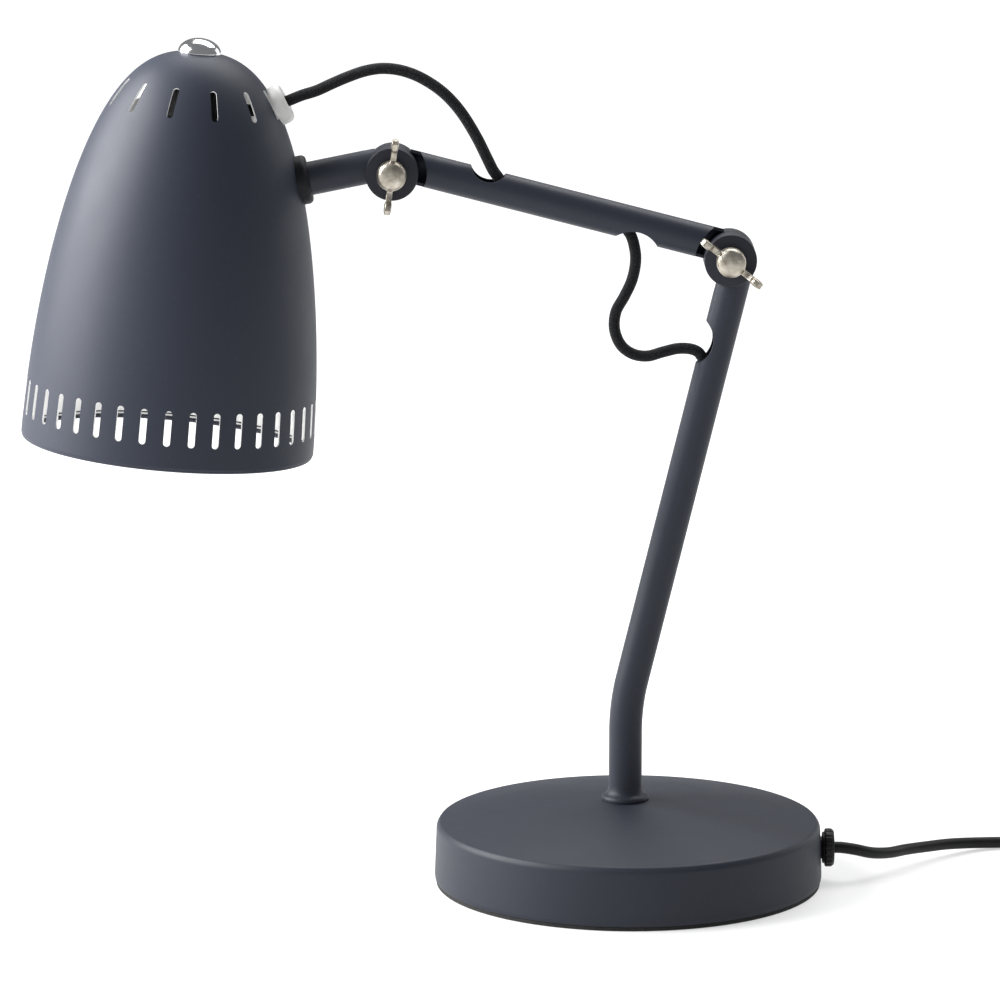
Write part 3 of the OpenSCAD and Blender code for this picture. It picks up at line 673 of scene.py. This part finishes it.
HEAD_ROUTE = [
    (-63.8, 0, 345), (-65.4, 0, 347.2), (-67.8, 0, 352), (-73.5, 0, 363.5), (-81, 0, 375.5),
    (-88.5, 0, 383.8), (-96.5, 0, 389.6), (-104, 0, 393.3), (-111.5, 0, 395.3), (-119, 0, 395.7),
    (-126.5, 0, 394.4), (-134, 0, 391.8), (-141.5, 0, 388.6), (-149, 0, 385.2), (-156, 0, 383),
    (-161.2, 0, 380.9), (-163.6, 0, 379.9)]
HOLDER_ROUTE = [
    (-163.6, 0, 379.9), (-166, 0, 378.9), (-169.5, 0, 377.3), (-174.5, 0, 375.9), (-181, 0, 376),
    (-188, 0, 377.8), (-195, 0, 378.5)]
MAINS_ROUTE = [
    (99.9, 0, 16.5), (103, 0, 16.5), (110, 1.2, 15.2), (118.5, 6.3, 12.2), (127.5, 15.3, 9.8),
    (137.5, 28, 8.2), (148, 39, 6.7), (160, 50, 5.2), (173, 58.5, 3.6), (187, 62.6, 2.8),
    (202, 63.6, 2.8), (214, 63.8, 2.9), (226, 63.9, 3.2), (240, 64.2, 3.4)]
SWITCH_ROUTE = [
    (272.8, 97, 20.2), (273, 105, 20.2), (273.6, 113, 19.3), (275.5, 121, 16.6),
    (279.5, 128.5, 12.6), (285.5, 134.5, 8.6), (293.5, 138.3, 5.2), (302.5, 139.3, 3.1),
    (311.3, 137.4, 2.8), (319.6, 131.2, 2.8), (326, 120, 3.2), (328, 108, 5.2), (328, 98, 7.2),
    (328, 90, 8)]
PLUG_ROUTE = [
    (328, 36, 8), (328, 28, 7.2), (328, 20, 6.4), (328, 12, 6.4), (328, 4, 6.5), (328, -4, 6.5)]
THROUGH_SWITCH = [(328, 80, 8), (328, 70, 8), (328, 56, 8), (328, 46, 8)]
cord_d, mains_d = 5.4, 5.6
coil_at = (240.0, 97.0)


def coil_points():
    """Eight turns in four layers of two. Each change of place is eased over 90 degrees."""
    slots = [(0, 0), (1, 0), (1, 1), (0, 1), (0, 2), (1, 2), (1, 3), (0, 3)]
    starts = [270 + 330 * k for k in range(7)]
    pts = []
    for w in np.arange(0, 2610.01, 3.0):
        k = sum(1 for s in starts if w >= s)
        r_i, z_i = slots[k]
        if k and w < starts[k - 1] + 90:
            t = 0.5 - 0.5 * math.cos(math.pi * (w - starts[k - 1]) / 90)
            r0, z0 = slots[k - 1]
            r_i, z_i = r0 + (r_i - r0) * t, z0 + (z_i - z0) * t
        r = 32.8 - 5.6 * r_i
        a = (w - 90) * RAD
        pts.append((coil_at[0] + r * math.cos(a), coil_at[1] + r * math.sin(a), 3.4 + 5.6 * z_i))
    return pts


coil = coil_points()
first = dense(MAINS_ROUTE + [coil[6], coil[12]], 1.5)
first = first[:nearest(first, MAINS_ROUTE[-1])]
last = dense([coil[-7], coil[-4]] + SWITCH_ROUTE + THROUGH_SWITCH + PLUG_ROUTE, 1.5)
last = last[nearest(last, SWITCH_ROUTE[0]):]
lead_path = np.vstack([first, np.array(coil[:-1]), last])
lead_path[:, 2] = np.maximum(lead_path[:, 2], mains_d / 2 + 0.02)

curve = bpy.data.curves.new("mains_lead", "CURVE")
curve.dimensions = "3D"
spline = curve.splines.new("POLY")
spline.points.add(len(lead_path) - 1)
for point, place in zip(spline.points, lead_path):
    point.co = (*(float(c) * MM for c in place), 1)
spline.use_smooth = True
curve.bevel_depth = mains_d / 2 * MM
curve.bevel_resolution = 5
curve.use_fill_caps = True
lead = bpy.data.objects.new("mains_lead", curve)
bpy.context.scene.collection.objects.link(lead)
finish_piece(lead, "mains_sheath", "stand",
             "mains_cord", "cord_coil", "cord_to_switch", "cord_to_plug")


def braided(name, route, nodes, body=None):
    path = dense(route, 1.0)
    o = tube(name, path, cord_d / 2, 28)
    if body:
        finish_piece(o, "braid", body, *nodes)
    else:
        o.data.materials.append(MAT["braid"])
        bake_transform(o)
        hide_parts(*nodes)
    return o


braided("elbow_cord", ELBOW_ROUTE, ["cord_loop_elbow"])
braided("head_cord", HEAD_ROUTE, ["cord_loop_head"])
braided("post_cord", POST_ROUTE, ["cord_in_post"], body="stand")
braided("arm_cord", ARM_ROUTE, ["cord_in_arm"], body="upper_arm")
braided("holder_cord", HOLDER_ROUTE, ["holder_lead"], body="lamp_head")

# ------------------------------------------------------------ base
dome_r = base_r - 1
dome = [(r, apex_z - base_dome_h * (r / dome_r) ** 1.6) for r in np.linspace(dome_r - 1.5, 7.6, 60)]
edge = rounded([(92.0, 2.0), (93.6, 2.0), (93.95, 4.0), (93.03, 28.2), dome[0], dome[1]],
               [0, 0.5, 0.3, 2.0, 1.4, 0], 6)
inner = [(r, z - 1.5) for r, z in reversed(dome)]
base_line = edge[:-1] + dome[1:] + inner + [(91.4, 27.5), (92.0, 4.0)]
base = lathe("base", base_line, None, 288, 50, closed=True)
finish_piece(base, "base_paint", "stand", "base_shell")

pad = lathe("pad", rounded([(0, 0), (93.2, 0), (93.2, 2.0), (0, 2.0)], 0.35, 3), None, 192, 40)
finish_piece(pad, "pad_foam", "stand", "base_pad")

flange_line = dense_profile([(8.0, 7.4), (8.15, 6.0), (8.6, 4.4), (9.5, 3.1), (10.7, 2.3),
                             (11.35, 1.4), (11.4, 0.5), (11.2, -0.6)], 0.35)
flange = lathe("flange", [(7.9, 7.4)] + flange_line + [(7.9, -0.6)],
               at((post_x, 0, apex_z - 0.2), 0), 96, 50, closed=True)
finish_piece(flange, "base_paint", "stand", "foot_flange")

gland_at = shift(93.4, 0, gland_h) @ spin(90, "Y")
gland_line = [(2.85, -8.5), (5.4, -8.5), (5.4, 0.9), (7.6, 0.9), (7.7, 2.0), (9.0, 2.1),
              (9.3, 2.6), (9.3, 5.2), (8.2, 6.5), (4.4, 6.5), (3.6, 5.9), (2.85, 5.9)]
gland = lathe("gland", rounded(gland_line, 0.45, 4), gland_at, 72, 35, closed=True)
grip = [(-0.45, -0.5), (0.45, -0.5), (0.45, 0.5), (-0.45, 0.5)]
boolean(gland, [prism("grip", grip, 3.4, gland_at @ spin(k * 20, "Z") @ shift(9.45, 0, 2.2))
                for k in range(18)])
finish_piece(gland, "black_plastic", "stand", "cord_gland")


# ------------------------------------------------------------ post
def joint_cut(place, side):
    """Cutters that clear a joint's own disc and the whole far side. side is the disc's."""
    lo, hi = (-cut_far, cope_over) if side > 0 else (-cope_over, cut_far)
    return [rod("disc", knuckle_r - disc_bite, -cut_far, cut_far, place, 128),
            rod("cope", cope_r, lo, hi, place, 128)]


def notch(turn, along, r, deep, side):
    """Cutter for a cord notch in a tube that leans turn degrees, along mm from the elbow."""
    place = at(step(elbow, turn, along), turn if side > 0 else turn + 180)
    return rod("notch", r, -16, 16, place @ shift(r + tube_r - deep + drop * side, 0, 0), 128)


post_line = [np.array([post_x, 0, 35.0]), np.array([post_x, 0, 55.0])]
post_line += [np.array([post_x, 0, z]) for z in np.arange(58, bend_z, 3)]
for a in np.linspace(0, post_tilt, 12):
    post_line.append(on_bend(a))
for d in np.arange(6, post_len - 4 - tube_end, 6):
    post_line.append(step(bend_end, post_tilt, d))
post_line.append(step(bend_end, post_tilt, post_len - tube_end))
post = pipe("post", np.array(post_line), tube_r, tube_bore)
boolean(post, joint_cut(elbow_post, -1))
boolean(post, [notch(post_tilt, -42.4, 12.5, 5.6, -1)])
smooth(post, 32)
finish_piece(post, "tube_paint", "stand", "post_tube")


def disc(name, place, side, hole):
    y0, y1 = (knuckle_gap, knuckle_out) if side > 0 else (-knuckle_out, -knuckle_gap)
    turn = spin(-90, "X")
    corners = [(hole, y0), (knuckle_r, y0), (knuckle_r, y1), (hole, y1)]
    return lathe(name, rounded(corners, 0.7, 5), place @ turn, 128, 35, closed=True)


for name, place, side, hole, body, node in (
        ("post_disc", elbow_post, -1, 3.08, "stand", "post_knuckle"),
        ("arm_disc_elbow", arm_frame, 1, 3.0, "upper_arm", "arm_elbow_knuckle"),
        ("arm_disc_head", head_frame, 1, 3.0, "upper_arm", "arm_head_knuckle"),
        ("neck_disc", neck_frame, -1, 3.08, "lamp_head", "neck_knuckle")):
    finish_piece(disc(name, place, side, hole), "joint_paint", body, node)


def straight_tube(name, place, z0, z1, bore=tube_bore, n=96):
    """Tube along a frame's Z, offset from its axis by the drop, with rings every 4 mm."""
    put = place @ shift(drop, 0, 0)
    rows = list(np.linspace(z0, z1, max(4, int((z1 - z0) / 4))))
    outer = [(tube_r, z) for z in rows]
    inside = [(bore, z) for z in reversed(rows)]
    return lathe(name, outer + inside, put, n, 35, closed=True)


# ------------------------------------------------------------ arm
arm = straight_tube("arm", arm_frame, tube_end, arm_len - tube_end)
boolean(arm, joint_cut(arm_frame, 1) + joint_cut(head_frame, 1))
boolean(arm, [notch(arm_turn, 45, 13, 5.2, -1), notch(arm_turn, 121.5, 9.5, 5.6, 1)])
smooth(arm, 32)
finish_piece(arm, "tube_paint", "upper_arm", "arm_tube")

# ------------------------------------------------------------ bolts and wing nuts
for name, centre in (("elbow_bolt", elbow), ("head_bolt", head)):
    put = at(centre, 0) @ spin(-90, "X")
    cup = dense_profile([(7.0, 12.9), (6.9, 13.6), (6.2, 14.7), (4.8, 15.7), (2.8, 16.3),
                         (0.0, 16.5)], 0.3)
    shape = [(0, -21.3), (2.6, -21.3), (3, -20.8), (3, 12.5), (6.9, 12.5)] + cup
    bolt = lathe(name + "_shown", shape, put, 64, 35)
    finish_piece(bolt, "nickel", "upper_arm", name)


def wing_nut(name, centre, turn, body):
    """Cast nut: domed hub with two wings, melted together."""
    put = at(centre, turn) @ spin(90, "X")
    z0 = knuckle_out + 0.1
    hub = dense_profile([(6.2, 0), (6.9, 0.5), (7.0, 1.6), (7.0, 6.6), (6.8, 8.0), (6.1, 9.1),
                         (4.7, 9.9), (2.6, 10.4), (0, 10.55)], 0.4)
    wing = dense_profile([(4.5, 1.2), (7.4, 1.0), (10.6, 3.0), (14.2, 4.4), (16.6, 5.6),
                          (17.9, 8.2), (17.6, 11.2), (15.9, 12.4), (13.9, 11.6), (12.0, 9.2),
                          (9.4, 7.6), (7.0, 7.3), (4.5, 7.4)], 0.6)
    lens = dense_profile([(0, -1.75), (1.9, -1.75), (2.9, -1.2), (3.1, 0), (2.9, 1.2),
                          (1.9, 1.75), (0, 1.75)])
    parts = [lathe("hub", [(0, z0)] + [(r, z0 + z) for r, z in hub], None, 96)]
    for side in (0, 180):
        w = prism("wing", wing, 2.9, spin(90, "X") @ shift(0, 0, -1.45))
        w.data.transform(shift(0, 0, z0))
        pip = lathe("pip", lens, shift(14.75, 0, 9.0 + z0) @ spin(90, "X"), 48)
        for x in (w, pip):
            x.data.transform(spin(90 + side, "Z"))
            parts.append(x)
    nut = join(name, parts)
    m = nut.modifiers.new("melt", "REMESH")
    m.mode, m.voxel_size, m.use_smooth_shade = "VOXEL", 0.26 * MM, True
    k = nut.modifiers.new("soften", "SMOOTH")
    k.factor, k.iterations = 0.5, 5
    apply_mods(nut)
    nut.data.transform(put)
    smooth(nut, 50)
    finish_piece(nut, "nickel", body, name.replace("_shown", ""))


wing_nut("elbow_wing_nut_shown", elbow, -52, "elbow_nut")
wing_nut("head_wing_nut_shown", head, 7, "head_nut")

# ------------------------------------------------------------ neck and shade
def bullet_line(r, length, rows):
    return [(shade_out(h, r, length), h) for h in rows]


def shade_rows(length, extra=()):
    base_rows = [length * math.sin(a) for a in np.linspace(0, math.pi / 2, 64)]
    return sorted(set([round(float(h), 4) for h in base_rows] + list(extra)))


def shade_solid(name):
    line = bullet_line(shade_r, shade_len, shade_rows(shade_len))
    return lathe(name, [(0, 0)] + line[:-1] + [(0, shade_len)], IN_SHADE, 144)


neck = straight_tube("neck", neck_frame, tube_end, neck_len + 5)
boolean(neck, joint_cut(neck_frame, -1) + [shade_solid("cut_n")])
smooth(neck, 32)
finish_piece(neck, "tube_paint", "lamp_head", "neck_tube")

collar_line = rounded([(8.0, 0), (10.6, 0), (11.7, 1.4), (11.7, 7.5), (8.0, 7.5)],
                      [0, 1.0, 1.4, 0, 0], 6)
collar = lathe("collar", collar_line, at(neck_end, neck_turn) @ shift(0, 0, -4.3),
               128, 40, closed=True)
boolean(collar, [shade_solid("cut_c")])
smooth(collar, 40)
finish_piece(collar, "collar_rubber", "lamp_head", "neck_collar")


def stadium(name, length, width, through, place):
    """Slot cutter: long side along Z, cutting along X."""
    pts = []
    s = (length - width) / 2
    for k in range(13):
        a = math.pi * k / 12
        pts.append((width / 2 * math.cos(a), s + width / 2 * math.sin(a)))
    for k in range(13):
        a = math.pi + math.pi * k / 12
        pts.append((width / 2 * math.cos(a), -s + width / 2 * math.sin(a)))
    return prism(name, pts, through, place @ SIDEWAYS @ shift(0, 0, -through / 2))


band = (1.2, 2.05, 2.9, 3.6)
outer = bullet_line(shade_r, shade_len, shade_rows(shade_len, band))
inside = bullet_line(shade_r - shade_wall, shade_len - shade_wall,
                     shade_rows(shade_len - shade_wall, band))
bead = [(68.5 + 1.2 * math.cos(a), 1.2 + 1.2 * math.sin(a))
        for a in np.linspace(math.pi * 0.97, math.pi * 2, 14)]
outer = [p for p in outer if p[1] > 1.3]
inside = [p for p in inside if p[1] > 2.0]
shade = lathe("shade_shown", bead + outer + list(reversed(inside)), None, 228, closed=True)
cutters = []
for k in range(slot_count):
    turn = spin(-90 + 2.4 + k * 360 / slot_count, "Z")
    cutters.append(stadium("slot", 16.7, 3.2, 9, turn @ shift(68, 0, 20.4)))
for k in range(vent_count):
    turn = spin(-90 + 1.5 + (k + 0.5) * 360 / vent_count, "Z")
    lean = (shift(shade_out(vent_on_shade), 0, vent_on_shade)
            @ spin(-shade_slope(vent_on_shade), "Y"))
    cutters.append(stadium("vent", 15.8, 3.0, 9, turn @ lean))
boolean(shade, cutters)
back = IN_SHADE.inverted()
boolean(shade, [
    lathe("crown_hole", [(0, 180), (5.2, 180), (5.2, 200), (0, 200)], None, 64),
    lathe("neck_hole", [(0, -9), (6.0, -9), (6.0, 9), (0, 9)], back @ on_shade(neck_on_shade), 64),
    lathe("cord_hole", [(0, -9), (6.6, -9), (6.6, 9), (0, 9)], back @ on_shade(cord_on_shade), 64)])


def wall_normal(p, inner):
    r = math.hypot(p[0], p[1])
    if r < 1e-9:
        return Vector((0, 0, -1 if inner else 1))
    a = math.radians(shade_slope(min(max(p[2] / MM, 0.0), shade_len)))
    v = Vector((p[0] / r * math.cos(a), p[1] / r * math.cos(a), math.sin(a)))
    return -v if inner else v


def shade_rule(c, n, p):
    if c[2] < 2.45 * MM and abs(n[2]) > 0.25:
        return None
    outward = wall_normal(c, False)
    if n.dot(outward) > 0.93:
        return wall_normal(p, False)
    if n.dot(outward) < -0.93:
        return wall_normal(p, True)
    return None


me = shade.data
me.materials.append(MAT["shade_paint"])
me.materials.append(ENAMEL)
for poly in me.polygons:
    c = poly.center
    facing = poly.normal.dot(wall_normal(c, False))
    z = c[2] / MM
    white = (z > 3.6 or 2.05 < z < 2.9) if facing < -0.5 else (facing < 0.7 and z > 8)
    poly.material_index = 1 if white else 0
    poly.use_smooth = True
normals_from(shade, shade_rule)
me.transform(IN_SHADE)
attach(shade, "lamp_head")
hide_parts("shade")

bushing_line = rounded([(2.95, -4.5), (6.5, -4.5), (6.5, -3.0), (9.2, -3.0), (9.6, 1.0),
                        (9.6, 3.6), (8.4, 5.5), (6.4, 5.8), (4.2, 5.6), (2.95, 4.2)],
                       [0, 0.4, 0, 0, 1, 2.2, 1.6, 1.2, 1.2, 0.8], 6)
bushing = lathe("bushing", bushing_line, on_shade(cord_on_shade), 96, 40, closed=True)
boolean(bushing, [shade_solid("cut_b")])
smooth(bushing, 40)
finish_piece(bushing, "white_plastic", "lamp_head", "cord_bushing")

on_crown = IN_SHADE @ shift(0, 0, shade_len)
knob_line = [(0, 0.9), (7.0, 0.7), (9.3, -0.5), (9.8, -0.75), (10.2, -0.7)]
knob_line += [(10.3 * math.cos(a), 7.0 * math.sin(a) - 0.5)
              for a in np.linspace(0, math.pi / 2, 30)[:-1]]
knob = lathe("knob", knob_line + [(0, 6.5)], on_crown, 128, 45)
finish_piece(knob, "chrome", "lamp_head", "crown_knob")
# Dark rubber ring under the crown knob, not a CAD part: painted shade that darkens the gap between knob
# and shade.
gap_shade_ring = lathe("knob_gap_shade_ring", rounded([(5, -0.3), (7.2, -0.3), (7.2, 0.95), (5, 0.95)], 0.2, 3),
             on_crown, 96, 35, closed=True)
finish_piece(gap_shade_ring, "collar_rubber", "lamp_head")

# ------------------------------------------------------------ lampholder and bulb
top = shade_len - shade_wall - 3.2 - 0.8
cap_line = [(13.5, 152.2), (16, 152.2), (16, 160), (13.8, 164), (11, 172), (9.2, 176),
            (9, top), (5, top), (5, 160), (13.5, 160)]
cap = lathe("holder_cap", rounded(cap_line, 0.8, 4), IN_SHADE, 96, 35, closed=True)
finish_piece(cap, "black_plastic", "lamp_head", "lampholder_cap")
skirt_line = [(13.7, 112), (18, 112.0), (19.4, 112.3), (20, 113.2), (20, 124.6),
              (19.3, 126), (17.4, 127.6)]
for k in range(9):
    z = 128.5 + k * 1.9
    skirt_line += [(16.1, z), (16.6, z + 0.5), (16.6, z + 1.1), (16.1, z + 1.6)]
skirt_line += [(16.2, 147), (16.2, 151.8), (13.7, 151.8)]
skirt = lathe("holder_skirt", skirt_line, IN_SHADE, 96, 40, closed=True)
finish_piece(skirt, "black_plastic", "lamp_head", "lampholder_skirt")
shell_line = [(0, 110.3), (12.3, 110.3), (12.5, 112.5)]
for k in range(8):
    z = 114.5 + k * 2.9
    shell_line += [(12.4, z), (13.0, z + 0.7), (13.2, z + 1.45), (13.0, z + 2.2)]
shell_line += [(12.4, 137.8), (7.2, 141), (4, 142.9), (0, 142.9)]
shell = lathe("bulb_shell", shell_line, IN_SHADE, 96, 50)
finish_piece(shell, "zinc_steel", "lamp_head", "bulb_cap")
glass_line = [(0.0, 48.0)]
glass_line += [(30 * math.cos(a), 78 + 30 * math.sin(a))
               for a in np.linspace(-math.pi / 2, math.radians(57), 60)[1:]]
glass_line += dense_profile([(15.0, 104.5), (13.3, 107.2), (12.5, 109.0), (12.2, 110.6)])
glass = lathe("bulb_shown", glass_line + [(0, 110.6)], IN_SHADE, 128, 60)
finish_piece(glass, "opal_glass", "lamp_head", "bulb_glass")


# ------------------------------------------------------------ switch, plug and tie
def outline(width, length, n=16):
    """Oval outline: two half circles joined by straight sides."""
    s = (length - width) / 2
    half = [math.pi * k / n for k in range(n + 1)]
    pts = [(width / 2 * math.cos(a), s + width / 2 * math.sin(a)) for a in half]
    return pts + [(-x, -y) for x, y in pts]


def pill(name, width, length, z0, z1, place, round_low, round_high):
    """Oval body with rounded edges, built as a stack of shrinking outlines."""
    quarter = np.linspace(0, math.pi / 2, 7)
    stack = [(round_low * (1 - math.sin(a)), z0 + round_low * (1 - math.cos(a)))
             for a in quarter]
    stack += [(round_high * (1 - math.cos(a)), z1 - round_high * (1 - math.sin(a)))
              for a in quarter]
    verts, faces = [], []
    for inset, z in stack:
        verts += [(x, y, z) for x, y in outline(width - 2 * inset, length - 2 * inset)]
    n = len(outline(width, length))
    for i in range(len(stack) - 1):
        for j in range(n):
            k = (j + 1) % n
            faces.append((i * n + j, i * n + k, (i + 1) * n + k, (i + 1) * n + j))
    faces += [tuple(reversed(range(n))), tuple(range((len(stack) - 1) * n, len(stack) * n))]
    return from_data(name, verts, faces, place, 40)


switch_place = shift(lead_x, switch_y, 0)
lower = pill("switch_lower", 25, 58, 0, 8.85, switch_place, 2.2, 0.25)
boolean(lower, [rod("lead_way", 2.9, -60, 60, switch_place @ shift(0, 0, 8), 48)])
smooth(lower, 40)
finish_piece(lower, "black_plastic", "stand", "switch_base")
upper = pill("switch_upper", 25, 58, 9.15, 18, switch_place, 0.25, 3.0)
window = prism("window", [(-4.85, -9.35), (4.85, -9.35), (4.85, 9.35), (-4.85, 9.35)], 12,
               switch_place @ shift(0, 0, 9.6))
boolean(upper, [rod("lead_way", 2.9, -60, 60, switch_place @ shift(0, 0, 8), 48), window])
smooth(upper, 40)
finish_piece(upper, "black_plastic", "stand", "switch_cover")

key_line = [(-7.6, -1.8), (7.6, -1.8), (8.3, 3.0), (7.9, 6.2), (4.5, 5.6), (0, 5.35),
            (-4.5, 5.6), (-7.9, 6.2), (-8.3, 3.0)]
key = prism("switch_key_shown", key_line, 8.9, shift(lead_x, switch_y, 13.5) @ spin(-7, "X")
            @ SIDEWAYS @ shift(0, 0, -4.45))
bevel(key, 0.5, 3)
finish_piece(key, "rocker_plastic", "switch_key", "switch_rocker")


def relief(name, y0, y1, z, r0, r1, rings=5):
    """Tapered sleeve round the lead, from y0 (housing) to y1, with cut rings."""
    n = 40
    line = []
    for k in range(n + 1):
        t = k / n
        r = r0 + (r1 - r0) * t
        groove = 0.45 if (t * rings) % 1 > 0.62 and 0.1 < t < 0.95 else 0.0
        line.append((r - groove, t * abs(y1 - y0)))
    place = shift(lead_x, y0, z) @ spin(-90 if y1 > y0 else 90, "X")
    return lathe(name, [(2.84, 0)] + line + [(2.84, abs(y1 - y0))], place, 64, 35, closed=True)


for name, y0, y1, z, lean, lift in (("relief_in", 90.6, 104, 7.2, -10.5, 0.8),
                                    ("relief_out", 35.4, 22, 7.0, 7, 1.0)):
    sleeve = relief(name, y0, y1, z, 4.6, 3.5)
    pivot = Vector((lead_x, y0, 8)) * MM
    sleeve.data.transform(Matrix.Translation(pivot) @ spin(lean, "X")
                          @ Matrix.Translation(-pivot) @ shift(0, 0, lift))
    finish_piece(sleeve, "black_plastic", "stand")

ring = [(-16, 0), (16, 0), (16, 7), (7.6, 32.5), (-7.6, 32.5), (-16, 7)]
plug = prism("plug_shown", ring, 13, shift(lead_x, -42, 0))
bevel(plug, 2.6, 5, 20)
boolean(plug, [rod("lead_way", 2.9, -20, 10, shift(lead_x, -8, 6.5), 48)])
smooth(plug, 38)
finish_piece(plug, "black_plastic", "stand", "plug_body")
plug_relief = relief("plug_relief", -9.6, 8, 6.5, 5.9, 3.7, 6)
finish_piece(plug_relief, "black_plastic", "stand")
pins = []
for side in (-1, 1):
    put = shift(lead_x + side * 9.3, -42, 6.5) @ spin(90, "X")
    pins.append(lathe("pin", rounded([(0, -2), (2, -2), (2, 19), (0, 19)], [0, 0, 0.8, 0], 5), put, 48))
pins = join("plug_pins_shown", pins)
smooth(pins, 40)
finish_piece(pins, "plated_brass", "stand", "plug_pins")

tie_turn = shift(*coil_at, 0) @ spin(60, "Z")
tie_thick, tie_half = 0.55, 4.5
loops = []
for grow in (0.0, tie_thick):
    half_w, low, high, r = 5.75 + grow, 0.58 - grow, 23.15 + grow, 2.0 + grow
    pts = []
    for cx, cz, a0 in ((half_w - r, high - r, 0), (-half_w + r, high - r, 90),
                       (-half_w + r, low + r, 180), (half_w - r, low + r, 270)):
        for k in range(7):
            a = (a0 + 15 * k) * RAD
            pts.append((30 + cx + r * math.cos(a), cz + r * math.sin(a)))
    loops.append(pts)
verts, faces = [], []
for pts in loops:
    for y in (-tie_half, tie_half):
        verts += [(x, y, z) for x, z in pts]
n = len(loops[0])
for i in range(n):
    j = (i + 1) % n
    faces += [(i, j, n + j, n + i), (2 * n + i, 3 * n + i, 3 * n + j, 2 * n + j),
              (i, 2 * n + i, 2 * n + j, j), (n + i, n + j, 3 * n + j, 3 * n + i)]
tie = from_data("tie_shown", verts, faces, tie_turn, 40)
finish_piece(tie, "tie_band", "stand", "cord_tie")

# ------------------------------------------------------------ hidden parts, left as in the CAD
for node, slot in (
        ("base_weight", "iron"), ("post_nipple", "zinc_steel"), ("post_nut", "zinc_steel"),
        ("gland_nut", "black_plastic"), ("neck_nut", "zinc_steel"),
        ("crown_nipple", "zinc_steel"), ("crown_nut", "zinc_steel"),
        ("lampholder_contact", "plated_brass"), ("elbow_washer", "fibre"),
        ("head_washer", "fibre")):
    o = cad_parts[node]
    o.data.materials.clear()
    o.data.materials.append(MAT[slot])

# ------------------------------------------------------------ stage
k = Nodes("floor_white_glow")
k.set("Base Color", k.mix(k.remap(k.noise(3, 3), 0, 1), (0.45, 0.45, 0.45), (0.47, 0.47, 0.47)))
k.set("Roughness", k.remap(k.noise(40, 3), 0.85, 0.95))
k.set("Specular IOR Level", 0.1)
# The floor glows: emission strength rises from 0.54 within 0.6 m of the origin to 0.92 at 3 m. This is
# painted light that fills the lamp from below and keeps the far floor white.
k.set("Emission Color", (1.0, 1.0, 1.0))
reach = k.new("ShaderNodeVectorMath", operation="LENGTH")
k.link(k.coord.outputs["Object"], reach.inputs[0])
k.set("Emission Strength", k.remap(reach.outputs["Value"], 0.54, 0.92, 0.6, 3.0))
k.set("Normal", k.bump(k.noise(500, 3), 0.00002, 0.2))
floor_mesh = bpy.data.meshes.new("floor")
floor_mesh.from_pydata([(-12, -6, 0), (12, -6, 0), (12, 18, 0), (-12, 18, 0)], [], [(0, 1, 2, 3)])
floor = bpy.data.objects.new("floor", floor_mesh)
floor.location.z = -0.0001
floor_mesh.materials.append(k.m)
bpy.context.scene.collection.objects.link(floor)

world = bpy.data.worlds.new("studio")
bpy.context.scene.world = world
world.use_nodes = True
world.node_tree.nodes["Background"].inputs["Color"].default_value = (0.95, 0.97, 1.0, 1)
world.node_tree.nodes["Background"].inputs["Strength"].default_value = 0.27


def softbox(name, place, target, size, power):
    data = bpy.data.lights.new(name, "AREA")
    data.shape, data.energy, data.color = "RECTANGLE", power, (1, 1, 1)
    data.size, data.size_y = size
    o = bpy.data.objects.new(name, data)
    o.location = place
    o.rotation_euler = (Vector(target) - Vector(place)).to_track_quat("-Z", "Y").to_euler()
    bpy.context.scene.collection.objects.link(o)


softbox("key", (-1.45, 0.05, 0.98), (-0.08, 0, 0.2), (1.5, 1.3), 92)
softbox("rim", (1.35, 1.0, 0.7), (0, 0, 0.2), (0.9, 1.1), 5)
softbox("top", (0.25, 0.9, 1.75), (0.0, 0, 0.1), (1.6, 1.0), 27)

bpy.context.scene.view_settings.view_transform = "Standard"
bpy.context.scene.view_settings.look = "None"
